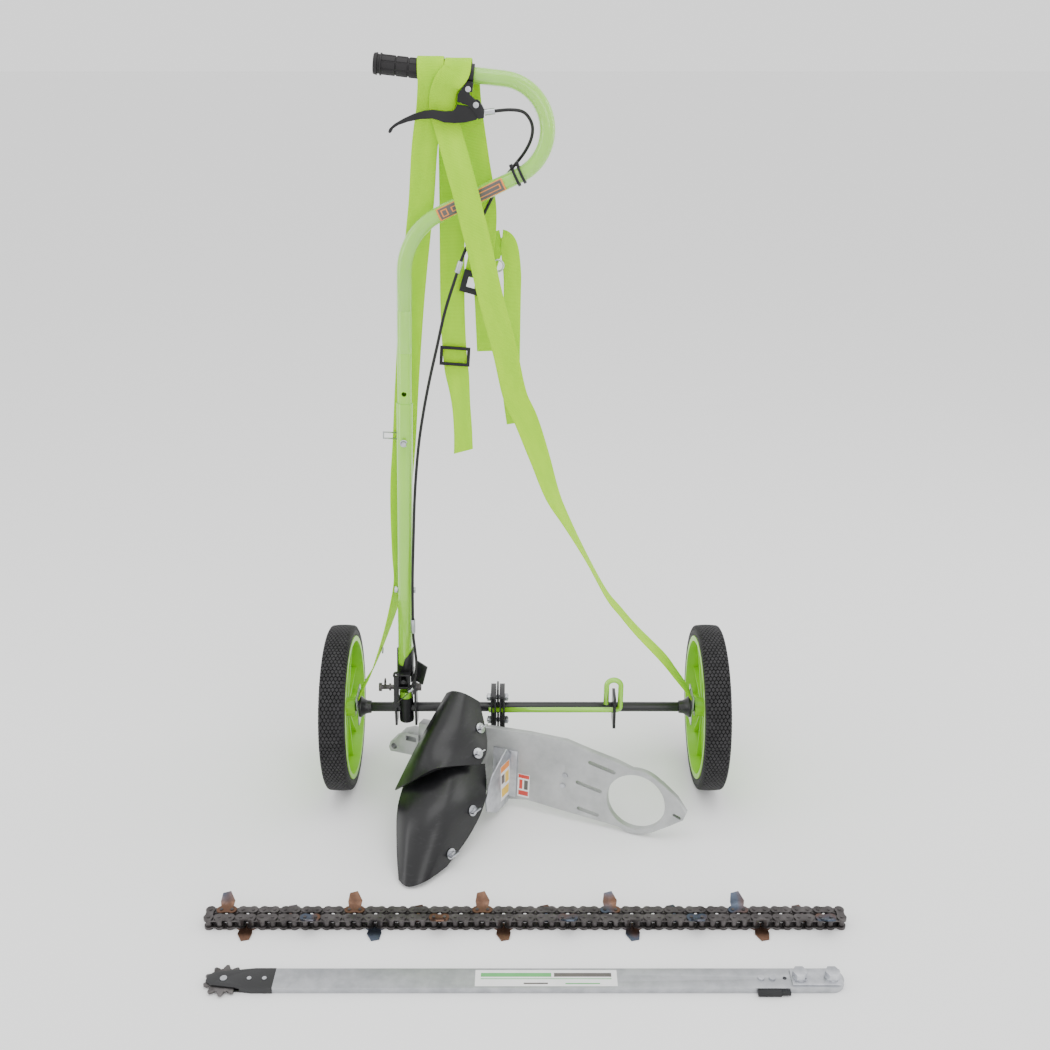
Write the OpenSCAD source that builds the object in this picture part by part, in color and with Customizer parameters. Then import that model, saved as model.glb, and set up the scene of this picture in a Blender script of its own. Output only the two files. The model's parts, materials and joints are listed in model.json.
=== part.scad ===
// Trenching attachment kit: two-wheel cart with folding mast, adapter arm with soil guard,
// cutter chain and guide bar. Millimetres, +Z up, X along the axle, Y away from the front.
// Origin: on the ground, at the middle of the whole kit's footprint.

/* [Wheels] */
// Outer diameter of the tyre
tyre_d = 292; // [260:1:330]
// Width of the tyre
tyre_w = 45; // [38:1:52]
// Diameter over the rim's lip
rim_d = 254; // [225:1:256]
// Number of spoke pairs in a wheel
spokes = 6; // [5:1:8]
// Distance between the inner faces of the wheels
track_in = 602; // [560:1:700]

/* [Axle] */
// Diameter of the axle bar
axle_d = 17; // [15:0.5:20]
// Diameter of the turned ends that carry the wheels
spindle_d = 16; // [12:0.5:16.5]
// Diameter of the lock rod
rod_d = 9.5; // [8:0.5:11]
// Height of the lock rod's loop handle
loop_h = 66; // [58:1:80]

/* [Mast] */
// Distance of the mast's foot from the middle of the axle
mast_x = 211; // [180:1:235]
// Height of the tilt pivot above the ground
pivot_z = 187; // [187:1:215]
// Sideways lean of the mast in degrees
mast_lean = 2.17; // [0:0.01:4]
// Outer diameter of the lower mast tube
tube_od = 25.4; // [24:0.1:28]
// Outer diameter of the handle tube that slides in it
handle_od = 22.2; // [19:0.1:22.2]
// Wall of both tubes
tube_wall = 1.5; // [1:0.1:2]
// Length of the lower mast tube
tube_len = 479; // [430:1:520]
// Height of the handle's elbow above the pivot
elbow_z = 795.5; // [760:1:850]
// Bend radius of the handle's big loop
loop_r = 70; // [62:1:76]
// Bend radius of the elbow
elbow_r = 100; // [70:1:110]
// Wall of the clear sleeve over the handle
sleeve_wall = 1.3; // [1:0.1:2]

/* [Chain] */
// Pitch of the cutter chain
pitch = 16.4; // [14:0.1:18]
// Links along each straight run
run_links = 59; // [47:12:59]
// Thickness of a chain plate
plate_t = 2.4; // [1.8:0.1:3]
// Diameter of a roller
roller_d = 10.2; // [8:0.1:11]

/* [Guide bar] */
// Length of the bar behind its nose
bar_len = 823; // [700:1:860]
// Width of the bar
bar_w = 38; // [34:1:44]
// Thickness of the bar
bar_t = 9.5; // [8:0.1:12]
// Teeth on the nose sprocket
nose_teeth = 10; // [8:1:12]

/* [Adapter arm] */
// Thickness of the arm casting
arm_t = 12; // [9:0.5:16]
// Diameter of the arm's drive opening
drive_bore = 101; // [90:1:104]
// Turn of the arm about the vertical, right end nearer the front
arm_yaw = 20; // [16:1:24]

/* [Webbing] */
// Width of the webbing
web_w = 38; // [30:1:40]
// Thickness of the webbing
web_t = 1.8; // [1.2:0.1:2]

/* [Hidden] */
$fn = 48;
fit = 0.05;           // radial clearance of anything that turns
gap = 0.3;            // clearance between pieces that pass each other
touch = 0.02;         // clearance between seated pieces

// Places
axle_z = tyre_d / 2;
bar_front = 533;                                   // the foremost sprocket tooth, ahead of the axle
axle_y = (bar_front - tyre_d / 2) / 2;             // centres the footprint front to back
bar_y = -bar_front + 29;
chain_y = -382;                                    // the chain loop's middle, ahead of the axle
wheel_x = track_in / 2;
hub_len = tyre_w - 2;

// Mast: everything is measured up the tube from the pivot
tube_bottom = 48;
handle_bottom = 300;
grip_end = [-39.5, elbow_z + 233.5];
loop_corner = [390, elbow_z + 202];
bar_angle = atan2(loop_corner[1] - grip_end[1], loop_corner[0] - grip_end[0]);
grip_len = 112;
sleeve_start = 142;
sleeve_end = 609.5;
socket_wall = 2;
socket_or = tube_od / 2 + 0.1 + socket_wall;
ear_t = 4;
ear_in = socket_or + gap + 13.5 * sin(mast_lean);
pin_r = 4;
bolt_s = 193;
height_pin_s = 464;
spare_hole_s = 544;

green = [0.55, 0.85, 0.05];
pale_green = [0.72, 0.9, 0.4];
black = [0.09, 0.09, 0.1];
steel = [0.75, 0.76, 0.78];
cast = [0.78, 0.78, 0.79];

module at_axle() { translate([0, axle_y, 0]) children(); }
module on_mast() { translate([-mast_x, axle_y, pivot_z]) rotate([0, mast_lean, 0]) children(); }
module along_x(x0, x1, r) { translate([x0, 0, 0]) rotate([0, 90, 0]) cylinder(r = r, h = x1 - x0); }
module along_y(y0, y1, r) { translate([0, y0, 0]) rotate([-90, 0, 0]) cylinder(r = r, h = y1 - y0); }
module sides() { for (s = [-1, 1]) scale_side(s) children(); }
module scale_side(s) { if (s < 0) mirror([1, 0, 0]) children(); else children(); }
module hexagon(across, h) { cylinder(r = across / sqrt(3), h = h, $fn = 6); }
module rounded_bar(len, r, h) {
    linear_extrude(h) {
        translate([0, -r]) square([len, 2 * r]);
        circle(r);
        translate([len, 0]) circle(r);
    }
}

// ---- Bent round bar or tube in the XZ plane: straight runs and true arcs at each corner ----
function unit(v) = v / norm(v);
function turn(a, b) = atan2(a[0] * b[1] - a[1] * b[0], a[0] * b[0] + a[1] * b[1]);
function heading(p, i) = unit(p[i + 1] - p[i]);
function tangent(p, rr, i) =
    (i == 0 || i == len(p) - 1) ? 0
    : rr[i] * tan(abs(turn(heading(p, i - 1), heading(p, i))) / 2);
module bent(p, rr, r) {
    rotate([90, 0, 0]) {
        for (i = [0 : len(p) - 2]) {
            d = heading(p, i);
            a = p[i] + d * tangent(p, rr, i);
            b = p[i + 1] - d * tangent(p, rr, i + 1);
            translate([a[0], a[1], 0]) rotate([0, 0, atan2(d[1], d[0])]) rotate([0, 90, 0])
                cylinder(r = r, h = norm(b - a));
        }
        for (i = [1 : 1 : len(p) - 2]) {
            d = heading(p, i - 1);
            w = turn(d, heading(p, i));
            s = sign(w);
            a = p[i] - d * tangent(p, rr, i);
            c = a + [-d[1], d[0]] * rr[i] * s;
            start = atan2(a[1] - c[1], a[0] - c[0]);
            translate([c[0], c[1], 0]) rotate([0, 0, w > 0 ? start : start + w])
                rotate_extrude(angle = abs(w)) translate([rr[i], 0]) circle(r);
        }
    }
}
// The centreline of such a bar as stations: a place and a heading every few degrees of bend
function rotated(v, w) = [v[0] * cos(w) - v[1] * sin(w), v[0] * sin(w) + v[1] * cos(w)];
function corner(p, rr, i) =
    let (d = heading(p, i - 1), w = turn(d, heading(p, i)), a = p[i] - d * tangent(p, rr, i),
         c = a + [-d[1], d[0]] * rr[i] * sign(w), m = ceil(abs(w) / 9))
    [for (k = [0 : m]) [c + rotated(a - c, w * k / m), rotated(d, w * k / m)]];
function stations(p, rr) = let (n = len(p) - 1)
    concat([[p[0], heading(p, 0)]], [for (i = [1 : 1 : n - 1]) each corner(p, rr, i)],
           [[p[n], heading(p, n - 1)]]);
tube_sides = 16;
module bent_tube(st, ro, ri) {
    n = len(st);
    k = tube_sides;
    ring = function (r) [for (q = st, j = [0 : k - 1])
        let (d = [q[1][0], 0, q[1][1]], f = cross(d, [0, 1, 0]))
        [q[0][0], 0, q[0][1]] + r * (cos(360 * j / k) * [0, 1, 0] + sin(360 * j / k) * f)];
    m = n * k;
    e = m - k;
    quads = [for (i = [0 : n - 2], j = [0 : k - 1]) let (a = i * k + j, b = i * k + (j + 1) % k) [a, b]];
    faces = concat(
        [for (q = quads) each [[q[0], q[0] + k, q[1]], [q[1], q[0] + k, q[1] + k]]],
        [for (q = quads) each [[m + q[0], m + q[1], m + q[0] + k], [m + q[1], m + q[1] + k, m + q[0] + k]]],
        [for (j = [0 : k - 1]) let (b = (j + 1) % k) [j, b, m + b, m + j]],
        [for (j = [0 : k - 1]) let (b = (j + 1) % k) [e + b, e + j, m + e + j, m + e + b]]);
    polyhedron(points = concat(ring(ro), ring(ri)), faces = faces, convexity = 8);
}

// ---- Swept solids through hand-picked points ----
function smooth_at(p, u) =
    let (n = len(p) - 1, i = min(floor(u), n - 1), t = u - i,
         a = p[max(i - 1, 0)], b = p[i], c = p[i + 1], d = p[min(i + 2, n)])
    0.5 * (2 * b + (c - a) * t + (2 * a - 5 * b + 4 * c - d) * t * t + (3 * b - a - 3 * c + d) * t * t * t);
function smoothed(p, steps) = [for (k = [0 : steps]) smooth_at(p, k * (len(p) - 1) / steps)];
function xyz(v) = [v[0], v[1], v[2]];
function dir_at(q, i) = unit(xyz(q[min(i + 1, len(q) - 1)]) - xyz(q[max(i - 1, 0)]));

// A round cord, eight sides
module cord(p, r, steps) {
    q = smoothed(p, steps);
    sides = 8;
    rings = [for (i = [0 : steps]) let (d = dir_at(q, i), e = unit(cross(d, [0.13, 0.95, 0.28])),
        f = cross(d, e))
        for (k = [0 : sides - 1]) xyz(q[i]) + r * (cos(360 * k / sides) * e + sin(360 * k / sides) * f)];
    swept(rings, steps + 1, sides);
}

// Flat webbing: each point is x, y, z and the turn of its width about the vertical
module webbing(p, steps, w = web_w) {
    q = smoothed(p, steps);
    rings = [for (i = [0 : steps])
        let (d = dir_at(q, i), want = [cos(q[i][3]), sin(q[i][3]), 0],
             e = unit(want - d * (want * d)), f = cross(d, e))
        for (s = [[-1, -1], [1, -1], [1, 1], [-1, 1]]) xyz(q[i]) + s[0] * e * w / 2 + s[1] * f * web_t / 2];
    swept(rings, steps + 1, 4);
}
module swept(rings, n, k) {
    faces = concat(
        [[for (j = [0 : k - 1]) j]],
        [for (i = [0 : n - 2], j = [0 : k - 1]) let (a = i * k + j, b = i * k + (j + 1) % k) [a, a + k, b]],
        [for (i = [0 : n - 2], j = [0 : k - 1]) let (a = i * k + j, b = i * k + (j + 1) % k)
            [b, a + k, b + k]],
        [[for (j = [k - 1 : -1 : 0]) (n - 1) * k + j]]);
    polyhedron(points = rings, faces = faces, convexity = 8);
}

// ---- Running gear ----
cross_pin_x = 5;                     // the split pins, out from the tyre's outer face
cross_pin_r = 1.2;
module axle() {
    color(black) at_axle() translate([0, 0, axle_z]) difference() {
        union() {
            along_x(-wheel_x + 4, wheel_x - 4, axle_d / 2);
            sides() along_x(wheel_x - 4, wheel_x + tyre_w + 8, spindle_d / 2);
        }
        sides() translate([wheel_x + tyre_w + cross_pin_x, 0, -20]) cylinder(r = cross_pin_r + touch,
            h = 40);
    }
}

module axle_flanges() {
    flare = 18.5;
    neck = axle_d / 2 + 2.5;
    color(black) at_axle() translate([0, 0, axle_z]) sides()
        translate([wheel_x - 28, 0, 0]) rotate([0, 90, 0]) rotate_extrude()
            polygon([[axle_d / 2, 0], [neck, 0], [neck + 1, 8], [flare - 3, 14], [flare, 17], [flare, 21.5],
                     [axle_d / 2, 21.5]]);
}

anchor_x = 28 - 21.5;                // the anchors' inner face, in from the wheel
anchor_t = 2.2;
module strap_anchors() {
    slot = [4, web_w + 2];
    color(steel) at_axle() translate([0, 0, axle_z]) sides()
        translate([wheel_x - anchor_x, 0, 0]) rotate([90, 0, 90]) linear_extrude(anchor_t) difference() {
            union() {
                translate([-slot[1] / 2 - 5, 8]) square([slot[1] + 10, 24]);
                translate([-14, -30]) square([28, 44]);
            }
            circle(spindle_d / 2 + 0.6);
            translate([-slot[1] / 2, 22]) square([slot[1], slot[0]]);
        }
}

bracket_x = -48;
bracket_gap = 6.4;
bracket_w = 9;
bracket_bolt_z = [20, -27];
rod_y = -15;
rod_z = 149 - 146;
module middle_bracket() {
    color(black) at_axle() translate([bracket_x, 0, axle_z]) difference() {
        union() {
            for (s = [0, 1]) mirror([s, 0, 0]) difference() {
                translate([bracket_gap / 2, -24, -38]) cube([bracket_w, 44, 74]);
                translate([bracket_gap / 2 + 2.5, -24.1, -34]) cube([bracket_w - 5, 8, 66]);
            }
            translate([-1.6, -14, -34]) cube([3.2, 30, 77]);
        }
        along_x(-30, 30, axle_d / 2 + touch);
        translate([0, rod_y, rod_z]) along_x(-30, 30, rod_d / 2 + fit);
        for (z = bracket_bolt_z) translate([0, 0, z]) along_x(-30, 30, 4 + fit);
    }
}

module bracket_bolts() {
    half = bracket_gap / 2 + bracket_w + touch;
    color(steel) at_axle() translate([bracket_x, 0, axle_z]) for (z = bracket_bolt_z) translate([0, 0, z]) {
        along_x(-half - 8, half + 1, 4);
        translate([half, 0, 0]) rotate([0, 90, 0]) hexagon(13, 5.3);
        translate([-half - 6.5, 0, 0]) rotate([0, 90, 0]) hexagon(13, 6.5);
        translate([half + 5.3, 0, 0]) along_x(0, 1.2, 4.6);
    }
}

rod_plate_x = 155;
module rod_plate() {
    color(black) at_axle() translate([rod_plate_x, 0, axle_z]) rotate([90, 0, 90]) linear_extrude(5)
        difference() {
            union() {
                translate([-26, -29]) square([38, 60]);
                translate([-26, -8]) square([30, 20]);
            }
            circle(axle_d / 2 + touch);
            translate([rod_y, rod_z]) circle(rod_d / 2 + fit);
        }
}

module ear_outline() {
    translate([-14, -30]) square([28, 52]);
    translate([0, pivot_z - axle_z]) circle(13);
    translate([-13, 20]) square([26, pivot_z - axle_z - 20]);
}
module foot_ears() {
    color(black) at_axle() translate([-mast_x, 0, axle_z]) for (s = [0, 1]) mirror([s, 0, 0])
        translate([ear_in, 0, 0]) rotate([90, 0, 90]) linear_extrude(ear_t) difference() {
            ear_outline();
            circle(axle_d / 2 + touch);
            translate([0, pivot_z - axle_z]) circle(pin_r + fit);
        }
}

stub_r = 11;
module foot_sleeve() {
    color(black) at_axle() translate([-mast_x, 0, axle_z - 26]) difference() {
        cylinder(r = stub_r + 1.8, h = 48);
        translate([0, 0, -1]) cylinder(r = stub_r, h = 50);
        translate([0, 0, 26]) along_x(-20, 20, axle_d / 2 + touch);
    }
}
module foot_stub() {
    top = pivot_z - axle_z - pin_r - 2;
    color(green) at_axle() translate([-mast_x, 0, axle_z]) difference() {
        translate([0, 0, -25]) cylinder(r = stub_r - touch, h = 25 + top);
        translate([0, 0, -26]) cylinder(r = stub_r - 2, h = 27 + top);
        along_x(-20, 20, axle_d / 2 + touch);
    }
}

module pivot_pin() {
    out = ear_in + ear_t;
    color(steel) at_axle() translate([-mast_x, 0, pivot_z]) {
        along_x(-out - 24, out + 8, pin_r);
        translate([-out - 27, 0, 0]) along_x(0, 5, 7.5);
        translate([-out - 9, 0, 0]) along_x(0, 3, 6.5);
        translate([out + touch, 0, 0]) along_x(0, 1.6, 8);
        translate([out + 1.6 + 2 * touch, 0, 0]) rotate([0, 90, 0]) hexagon(13, 6.5);
        translate([-out - 16, 0, 7]) rotate([0, 90, 0]) rotate([0, 0, 90]) rotate_extrude()
            translate([9, 0]) circle(1);
    }
}

module axle_caps() {
    out = wheel_x + tyre_w;
    color(steel) at_axle() translate([0, 0, axle_z]) sides() {
        translate([out + 1.2, 0, 0]) rotate([0, 90, 0]) difference() {
            cylinder(r = 14, h = 2);
            translate([0, 0, -1]) cylinder(r = spindle_d / 2 + touch, h = 4);
        }
        translate([out + cross_pin_x, 0, -13]) cylinder(r = cross_pin_r, h = 26);
    }
}

// ---- Wheels: the hub is at the origin, x runs outwards from the inner face ----
module at_wheel(s) {
    at_axle() translate([0, 0, axle_z]) scale_side(s) translate([wheel_x, 0, 0]) children();
}
module wheel_part() {
    bead = rim_d / 2 - 5;
    rotate([0, 90, 0]) {
        rotate_extrude() polygon([[bead - 5, 0.5], [bead + 4, 0.5], [bead + 4, 4], [bead, 5],
            [bead, tyre_w - 5],
            [bead + 4, tyre_w - 4], [bead + 4, tyre_w - 0.5], [bead - 5, tyre_w - 0.5]]);
        difference() {
            cylinder(r = 17, h = hub_len + 1.5);
            translate([0, 0, -1]) cylinder(r = spindle_d / 2 + fit, h = hub_len + 4);
        }
        for (k = [0 : spokes - 1], m = [-1, 1]) rotate([0, 0, (k + 0.37) * 360 / spokes + m * 8])
            translate([15, -1.6, 14]) rotate([0, 0, m * 6]) cube([bead - 19, 3.2, 22]);
        difference() {
            translate([0, 0, 23]) cylinder(r = bead - 2, h = 3);
            translate([0, 0, 20]) cylinder(r = 14, h = 10);
            for (k = [0 : spokes - 1]) rotate([0, 0, (k + 0.37) * 360 / spokes])
                translate([0, 0, 20]) linear_extrude(10) polygon([[50, -3], [50, 3], [104, 15.5],
                    [104, -15.5]]);
        }
    }
}
module tyre_part() {
    r = tyre_d / 2;
    inner = rim_d / 2 - 5;
    w = tyre_w;
    rotate([0, 90, 0]) rotate_extrude() difference() {
        polygon([[inner + 0.02, 5.2], [inner + 4.1, 4.2], [inner + 4.1, 2], [inner + 8, 0], [r - 9, 0.5],
            [r - 3, 4], [r - 0.8, 11], [r, w / 2], [r - 0.8, w - 11], [r - 3, w - 4], [r - 9, w - 0.5],
            [inner + 8, w], [inner + 4.1, w - 2], [inner + 4.1, w - 4.2], [inner + 0.02, w - 5.2]]);
    }
}
module wheel_left() { color(green) at_wheel(-1) wheel_part(); }
module wheel_right() { color(green) at_wheel(1) wheel_part(); }
module tyre_left() { color(black) at_wheel(-1) tyre_part(); }
module tyre_right() { color(black) at_wheel(1) tyre_part(); }

// ---- Mast ----
module mast_socket() {
    top = 78;
    color(black) on_mast() difference() {
        union() {
            translate([0, 0, 16]) cylinder(r = socket_or, h = top - 16);
            for (s = [0, 1]) mirror([s, 0, 0]) translate([socket_or - socket_wall, 0, 0])
                rotate([90, 0, 90]) linear_extrude(socket_wall) {
                    circle(13.5);
                    translate([-13.5, 0]) square([27, 34]);
                }
            translate([socket_or - 2, -4, 20]) rotate([0, 14, -32]) cube([22, 2.5, 40]);
        }
        translate([0, 0, 15]) cylinder(r = tube_od / 2 + 0.1, h = top);
        rotate([0, -mast_lean, 0]) along_x(-30, 30, pin_r + fit);
        translate([0, 0, tube_bottom + 2]) rotate([90, 0, 0]) linear_extrude(30)
            polygon([[-20, 0], [-3, 0], [0, 14], [11, 27], [11, 60], [-20, 60]]);
        translate([0, 0, 14]) rotate([90, 0, 0]) linear_extrude(30)
            polygon([[-10, -5], [10, -5], [10, 16], [-10, 16]]);
    }
}

module foot_cover() {
    color(black) on_mast() {
        difference() {
            translate([-12, -27, 14.5]) cube([22, 27 - socket_or - touch, 26]);
            translate([-9, -28, 16]) cube([16, 11, 22]);
        }
        translate([-1, -17, 28]) along_y(-13, 1, 4);
    }
}

module mast_tube() {
    color(pale_green) on_mast() difference() {
        translate([0, 0, tube_bottom]) cylinder(r = tube_od / 2, h = tube_len);
        translate([0, 0, tube_bottom - 1]) cylinder(r = tube_od / 2 - tube_wall, h = tube_len + 2);
        translate([0, 0, bolt_s]) along_x(-20, 20, 3.2);
        translate([0, 0, height_pin_s]) along_y(-20, 20, 4);
    }
}

module mast_bolt() {
    r = tube_od / 2 + touch;
    color(steel) on_mast() translate([0, 0, bolt_s]) {
        along_x(-r - 3, r + 3, 3);
        sides() {
            translate([r, 0, 0]) along_x(0, 1.5, 5.5);
            translate([r + 1.5, 0, 0]) rotate([0, 90, 0]) hexagon(10, 3.5);
        }
    }
}

module height_pin() {
    r = tube_od / 2;
    color(steel) on_mast() translate([0, 0, height_pin_s]) {
        along_y(-r - 9, r + 8, 3.8);
        translate([0, r + touch, 0]) along_y(0, 5, 6.5);
    }
}

handle_ri = handle_od / 2 - tube_wall;
stem_top = elbow_z - elbow_r - 20;
module handle_stem() {
    color(pale_green) on_mast() difference() {
        translate([0, 0, handle_bottom]) cylinder(r = handle_od / 2, h = stem_top - handle_bottom);
        translate([0, 0, handle_bottom - 1]) cylinder(r = handle_ri, h = stem_top);
        translate([0, 0, height_pin_s]) along_y(-20, 20, 4);
        translate([0, 0, spare_hole_s]) along_y(-20, 20, 4);
    }
}
module handle_bar() {
    path = [grip_end + 2 * unit(loop_corner - grip_end), loop_corner, [0, elbow_z], [0, stem_top + touch]];
    color(pale_green) on_mast() bent_tube(stations(path, [0, loop_r, elbow_r, 0]), handle_od / 2, handle_ri);
}

module handle_sleeve() {
    ri = (handle_od / 2 + touch) / cos(180 / tube_sides);
    start = grip_end + sleeve_start * unit(loop_corner - grip_end);
    path = [start, loop_corner, [0, elbow_z], [0, sleeve_end]];
    color([0.85, 0.95, 0.7]) on_mast()
        bent_tube(stations(path, [0, loop_r, elbow_r, 0]), ri + sleeve_wall, ri);
}

// Along the grip: x runs inwards from the handle's free end
module on_grip() {
    on_mast() translate([grip_end[0], 0, grip_end[1]]) rotate([0, -bar_angle, 0]) children();
}
module grip() {
    r = handle_od / 2 + fit / 2;
    color(black) on_grip() rotate([0, 90, 0]) rotate_extrude()
        polygon([[0, -3], [12, -3], [15.6, -1], [15.6, 3], [13.8, 3.5], [13.8, 6], [15.4, 6.5], [15.4, 9],
            [13.9, 9.5], [13.9, 30], [13, 31], [13, 32], [13.9, 33], [13.9, 54], [13, 55], [13, 56],
            [13.9, 57],
            [13.9, 78], [13, 79], [13, 80], [13.9, 81], [13.9, grip_len], [r, grip_len], [r, 1.9],
            [0, 1.9]]);
}

perch_x = 133;                          // along the grip from the free end
lever_pivot = [perch_x + 14, -38];      // along the bar, and below it
lever_y = -13;
module perch_outline() {
    polygon([[-2, -10], [4, -10], [3, -20], [4, -26], [11, -31], [22, -37], [26, -43], [27, -54.5],
        [19, -57],
        [13, -48], [2, -40], [-13, -36.5], [-13, -27], [-8, -18]]);
}
module lever_perch() {
    r = handle_od / 2 + touch;
    color(black) on_grip() translate([perch_x, 0, 0]) difference() {
        union() {
            along_x(-6, 7, r + 4);
            translate([-6, -16, -22]) cube([13, 16, 14]);
            translate([0, lever_y + 6, 0]) rotate([90, 0, 0]) linear_extrude(12) perch_outline();
        }
        along_x(-10, 10, r);
        translate([-40, lever_y - 3.2, -70]) cube([61, 6.4, 42.5]);
        translate([lever_pivot[0] - perch_x, 0, lever_pivot[1]]) along_y(-30, 10, 2.5 + fit);
    }
}
module perch_bolts() {
    color(steel) on_grip() {
        translate([perch_x + 1, 0, -18]) along_y(lever_y - 9, lever_y - 6 - touch, 4);
        translate([lever_pivot[0], 0, lever_pivot[1]]) {
            along_y(lever_y - 8, lever_y + 8, 2.5);
            along_y(lever_y - 8, lever_y - 6 - touch, 4.2);
            along_y(lever_y + 6 + touch, lever_y + 8, 4.2);
        }
    }
}
module brake_lever() {
    color(black) on_grip() translate([lever_pivot[0], lever_y, lever_pivot[1]]) difference() {
        rotate([90, 0, 0]) translate([0, 0, -3]) linear_extrude(6) {
            circle(7);
            polygon([[0, -7], [-14, -3], [-27, -3], [-29, -9], [-33, -12.5], [-45, -14], [-60, -13.8],
                [-72, -16],
                [-87, -22], [-101, -30], [-114, -39], [-120.5, -46], [-122, -51], [-119, -52.5],
                [-117, -50.3],
                [-115, -45.5], [-108, -40], [-95, -34], [-78, -28.5], [-61, -25.7], [-53, -26.7],
                [-43, -29.2],
                [-28, -28.3], [-13, -25.8], [2, -20.5], [7, -14], [7, 0]]);
        }
        along_y(-10, 10, 2.5 + fit);
    }
}

module cable_ties() {
    r = (handle_od / 2 + touch) / cos(180 / tube_sides) + sleeve_wall + 0.3;
    diagonal = unit(loop_corner - [0, elbow_z]);
    spot = [0, elbow_z] + 190 * diagonal;
    color(black) on_mast() for (d = [-4.5, 4.5]) {
        p = spot + d * diagonal;
        translate([p[0], 0, p[1]]) rotate([0, 90 - atan2(diagonal[1], diagonal[0]), 0]) {
            rotate_extrude() translate([r + touch, -2]) square([1.4, 4]);
            translate([-r - 6.5, -3, -2.6]) cube([5.4, 6, 5.2]);
        }
    }
}

// The brake cable, from the lever to the nut at the mast's foot; x, y, z from the axle's middle
cable_route = [[-57.7, -13, 1152], [-42.4, -13, 1154], [-20.4, -12, 1155.5], [-3, -9, 1152.5],
    [7, -4, 1142], [11, 2, 1128], [8, 8, 1111], [-2, 15, 1092], [-18, 19, 1072], [-32, 20, 1054],
    [-46, 20, 1034], [-62, 18, 1004], [-76, 2, 978], [-90, -15, 955], [-104, -18, 918],
    [-122, -18, 864], [-136, -17, 808], [-148, -14, 760], [-159, -11, 710], [-169, -9, 655],
    [-176, -8, 600], [-181, -9, 545], [-185, -10, 480], [-189, -12, 410], [-191, -13, 350],
    [-192, -13, 300], [-190, -15, 274], [-188, -20, 248], [-190, -28, 226], [-197, -34, 207]];
module cable_housing() {
    color(black) at_axle() cord(cable_route, 2.4, 78);
}
module cable_sleeve_at(a, b, r) {
    d = b - a;
    translate(a) rotate([0, acos(d[2] / norm(d)), atan2(d[1], d[0])]) difference() {
        cylinder(r = r, h = norm(d));
        translate([0, 0, -1]) cylinder(r = 2.4 + 0.35, h = norm(d) + 2);
    }
}
module cable_fittings() {
    color(steel) at_axle() {
        cable_sleeve_at([-57.5, -13, 1152.1], [-43.2, -13, 1153.9], 4.6);
        cable_sleeve_at([-96, -16.6, 941], [-102, -17.6, 924], 4.2);
        cable_sleeve_at([-191.4, -13, 330], [-191.8, -13, 304], 4);
        translate([-198, -35.6, 201.5]) rotate([0, -30, 0]) hexagon(10, 4);
    }
}
latch_pivot = [-13, -29, 43];           // on the mast, from the tilt pivot
wire_end = [-222, -35.2, 177];
module cable_wire() {
    color(steel) at_axle() cord([[-200.2, -35.6, 199], [-211, -35.4, 188], wire_end], 0.75, 6);
}

module latch() {
    color(black) on_mast() translate(latch_pivot) rotate([90, 0, 0]) difference() {
        linear_extrude(5) {
            circle(6);
            translate([-4.5, -58]) square([9, 58]);
            translate([0, -58]) circle(6.5);
        }
        translate([0, 0, -1]) cylinder(r = 2.5 + fit, h = 8);
    }
}

module pin_bail() {
    r = tube_od / 2 + gap + 1.2;
    color(steel) on_mast() translate([0, 0, height_pin_s]) {
        translate([0, -r - 3, 0]) rotate([90, 0, 0]) rotate([0, 0, 20])
            rotate_extrude(angle = 300) translate([5.2, 0]) circle(1.1);
        rotate([90, 0, 0]) translate([0, 0, -r - 4.5]) {
            for (z = [-5.2, 5.2]) translate([-r - 22, z, 0]) rotate([0, 90, 0]) cylinder(r = 1.1,
                h = r + 17);
            translate([-r - 22, -6.2, 0]) rotate([-90, 0, 0]) cylinder(r = 1.1, h = 12.4);
        }
    }
}

module lock_rod() {
    left = bracket_x - 16;
    right = rod_plate_x + 13;
    inner = rod_plate_x - 12;
    top = rod_z + loop_h - rod_d / 2;
    color(green) at_axle() translate([0, rod_y, axle_z]) bent(
        [[left, rod_z], [right, rod_z], [right, top], [inner, top], [inner, rod_z + 13]],
        [0, 8, (right - inner) / 2 - 0.1, (right - inner) / 2 - 0.1, 0], rod_d / 2);
}

// ---- Harness webbing; each row is x, y, z from the axle's middle and the width's turn ----
anchor_reach = wheel_x - anchor_x - 1.5;
left_run = [[-133, 17, 1150, 0], [-133, 16, 1190, 0], [-133, 15.6, 1208, 0], [-133, 11.5, 1221, 0],
    [-133, 0, 1226, 0], [-133, -11.5, 1221, 0], [-133, -15.6, 1208, 0], [-133, -13, 1192, 0],
    [-135, -4, 1174, 0], [-138, 2, 1152, 0], [-147, 9, 1099, 0], [-155, 22, 1025, 0],
    [-162, 25, 974, 0], [-175, 25, 873, 0], [-188, 25, 744, 0], [-197, 25, 639, 8], [-205, 25, 560, 20],
    [-211, 23, 446, 45], [-214, 22, 393, 60], [-226, 18, 340, 68], [-243, 12, 286, 76],
    [-266, 4, 224, 82], [-284, 0, 190, 88], [-anchor_reach, 0, 171, 90]];
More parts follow.
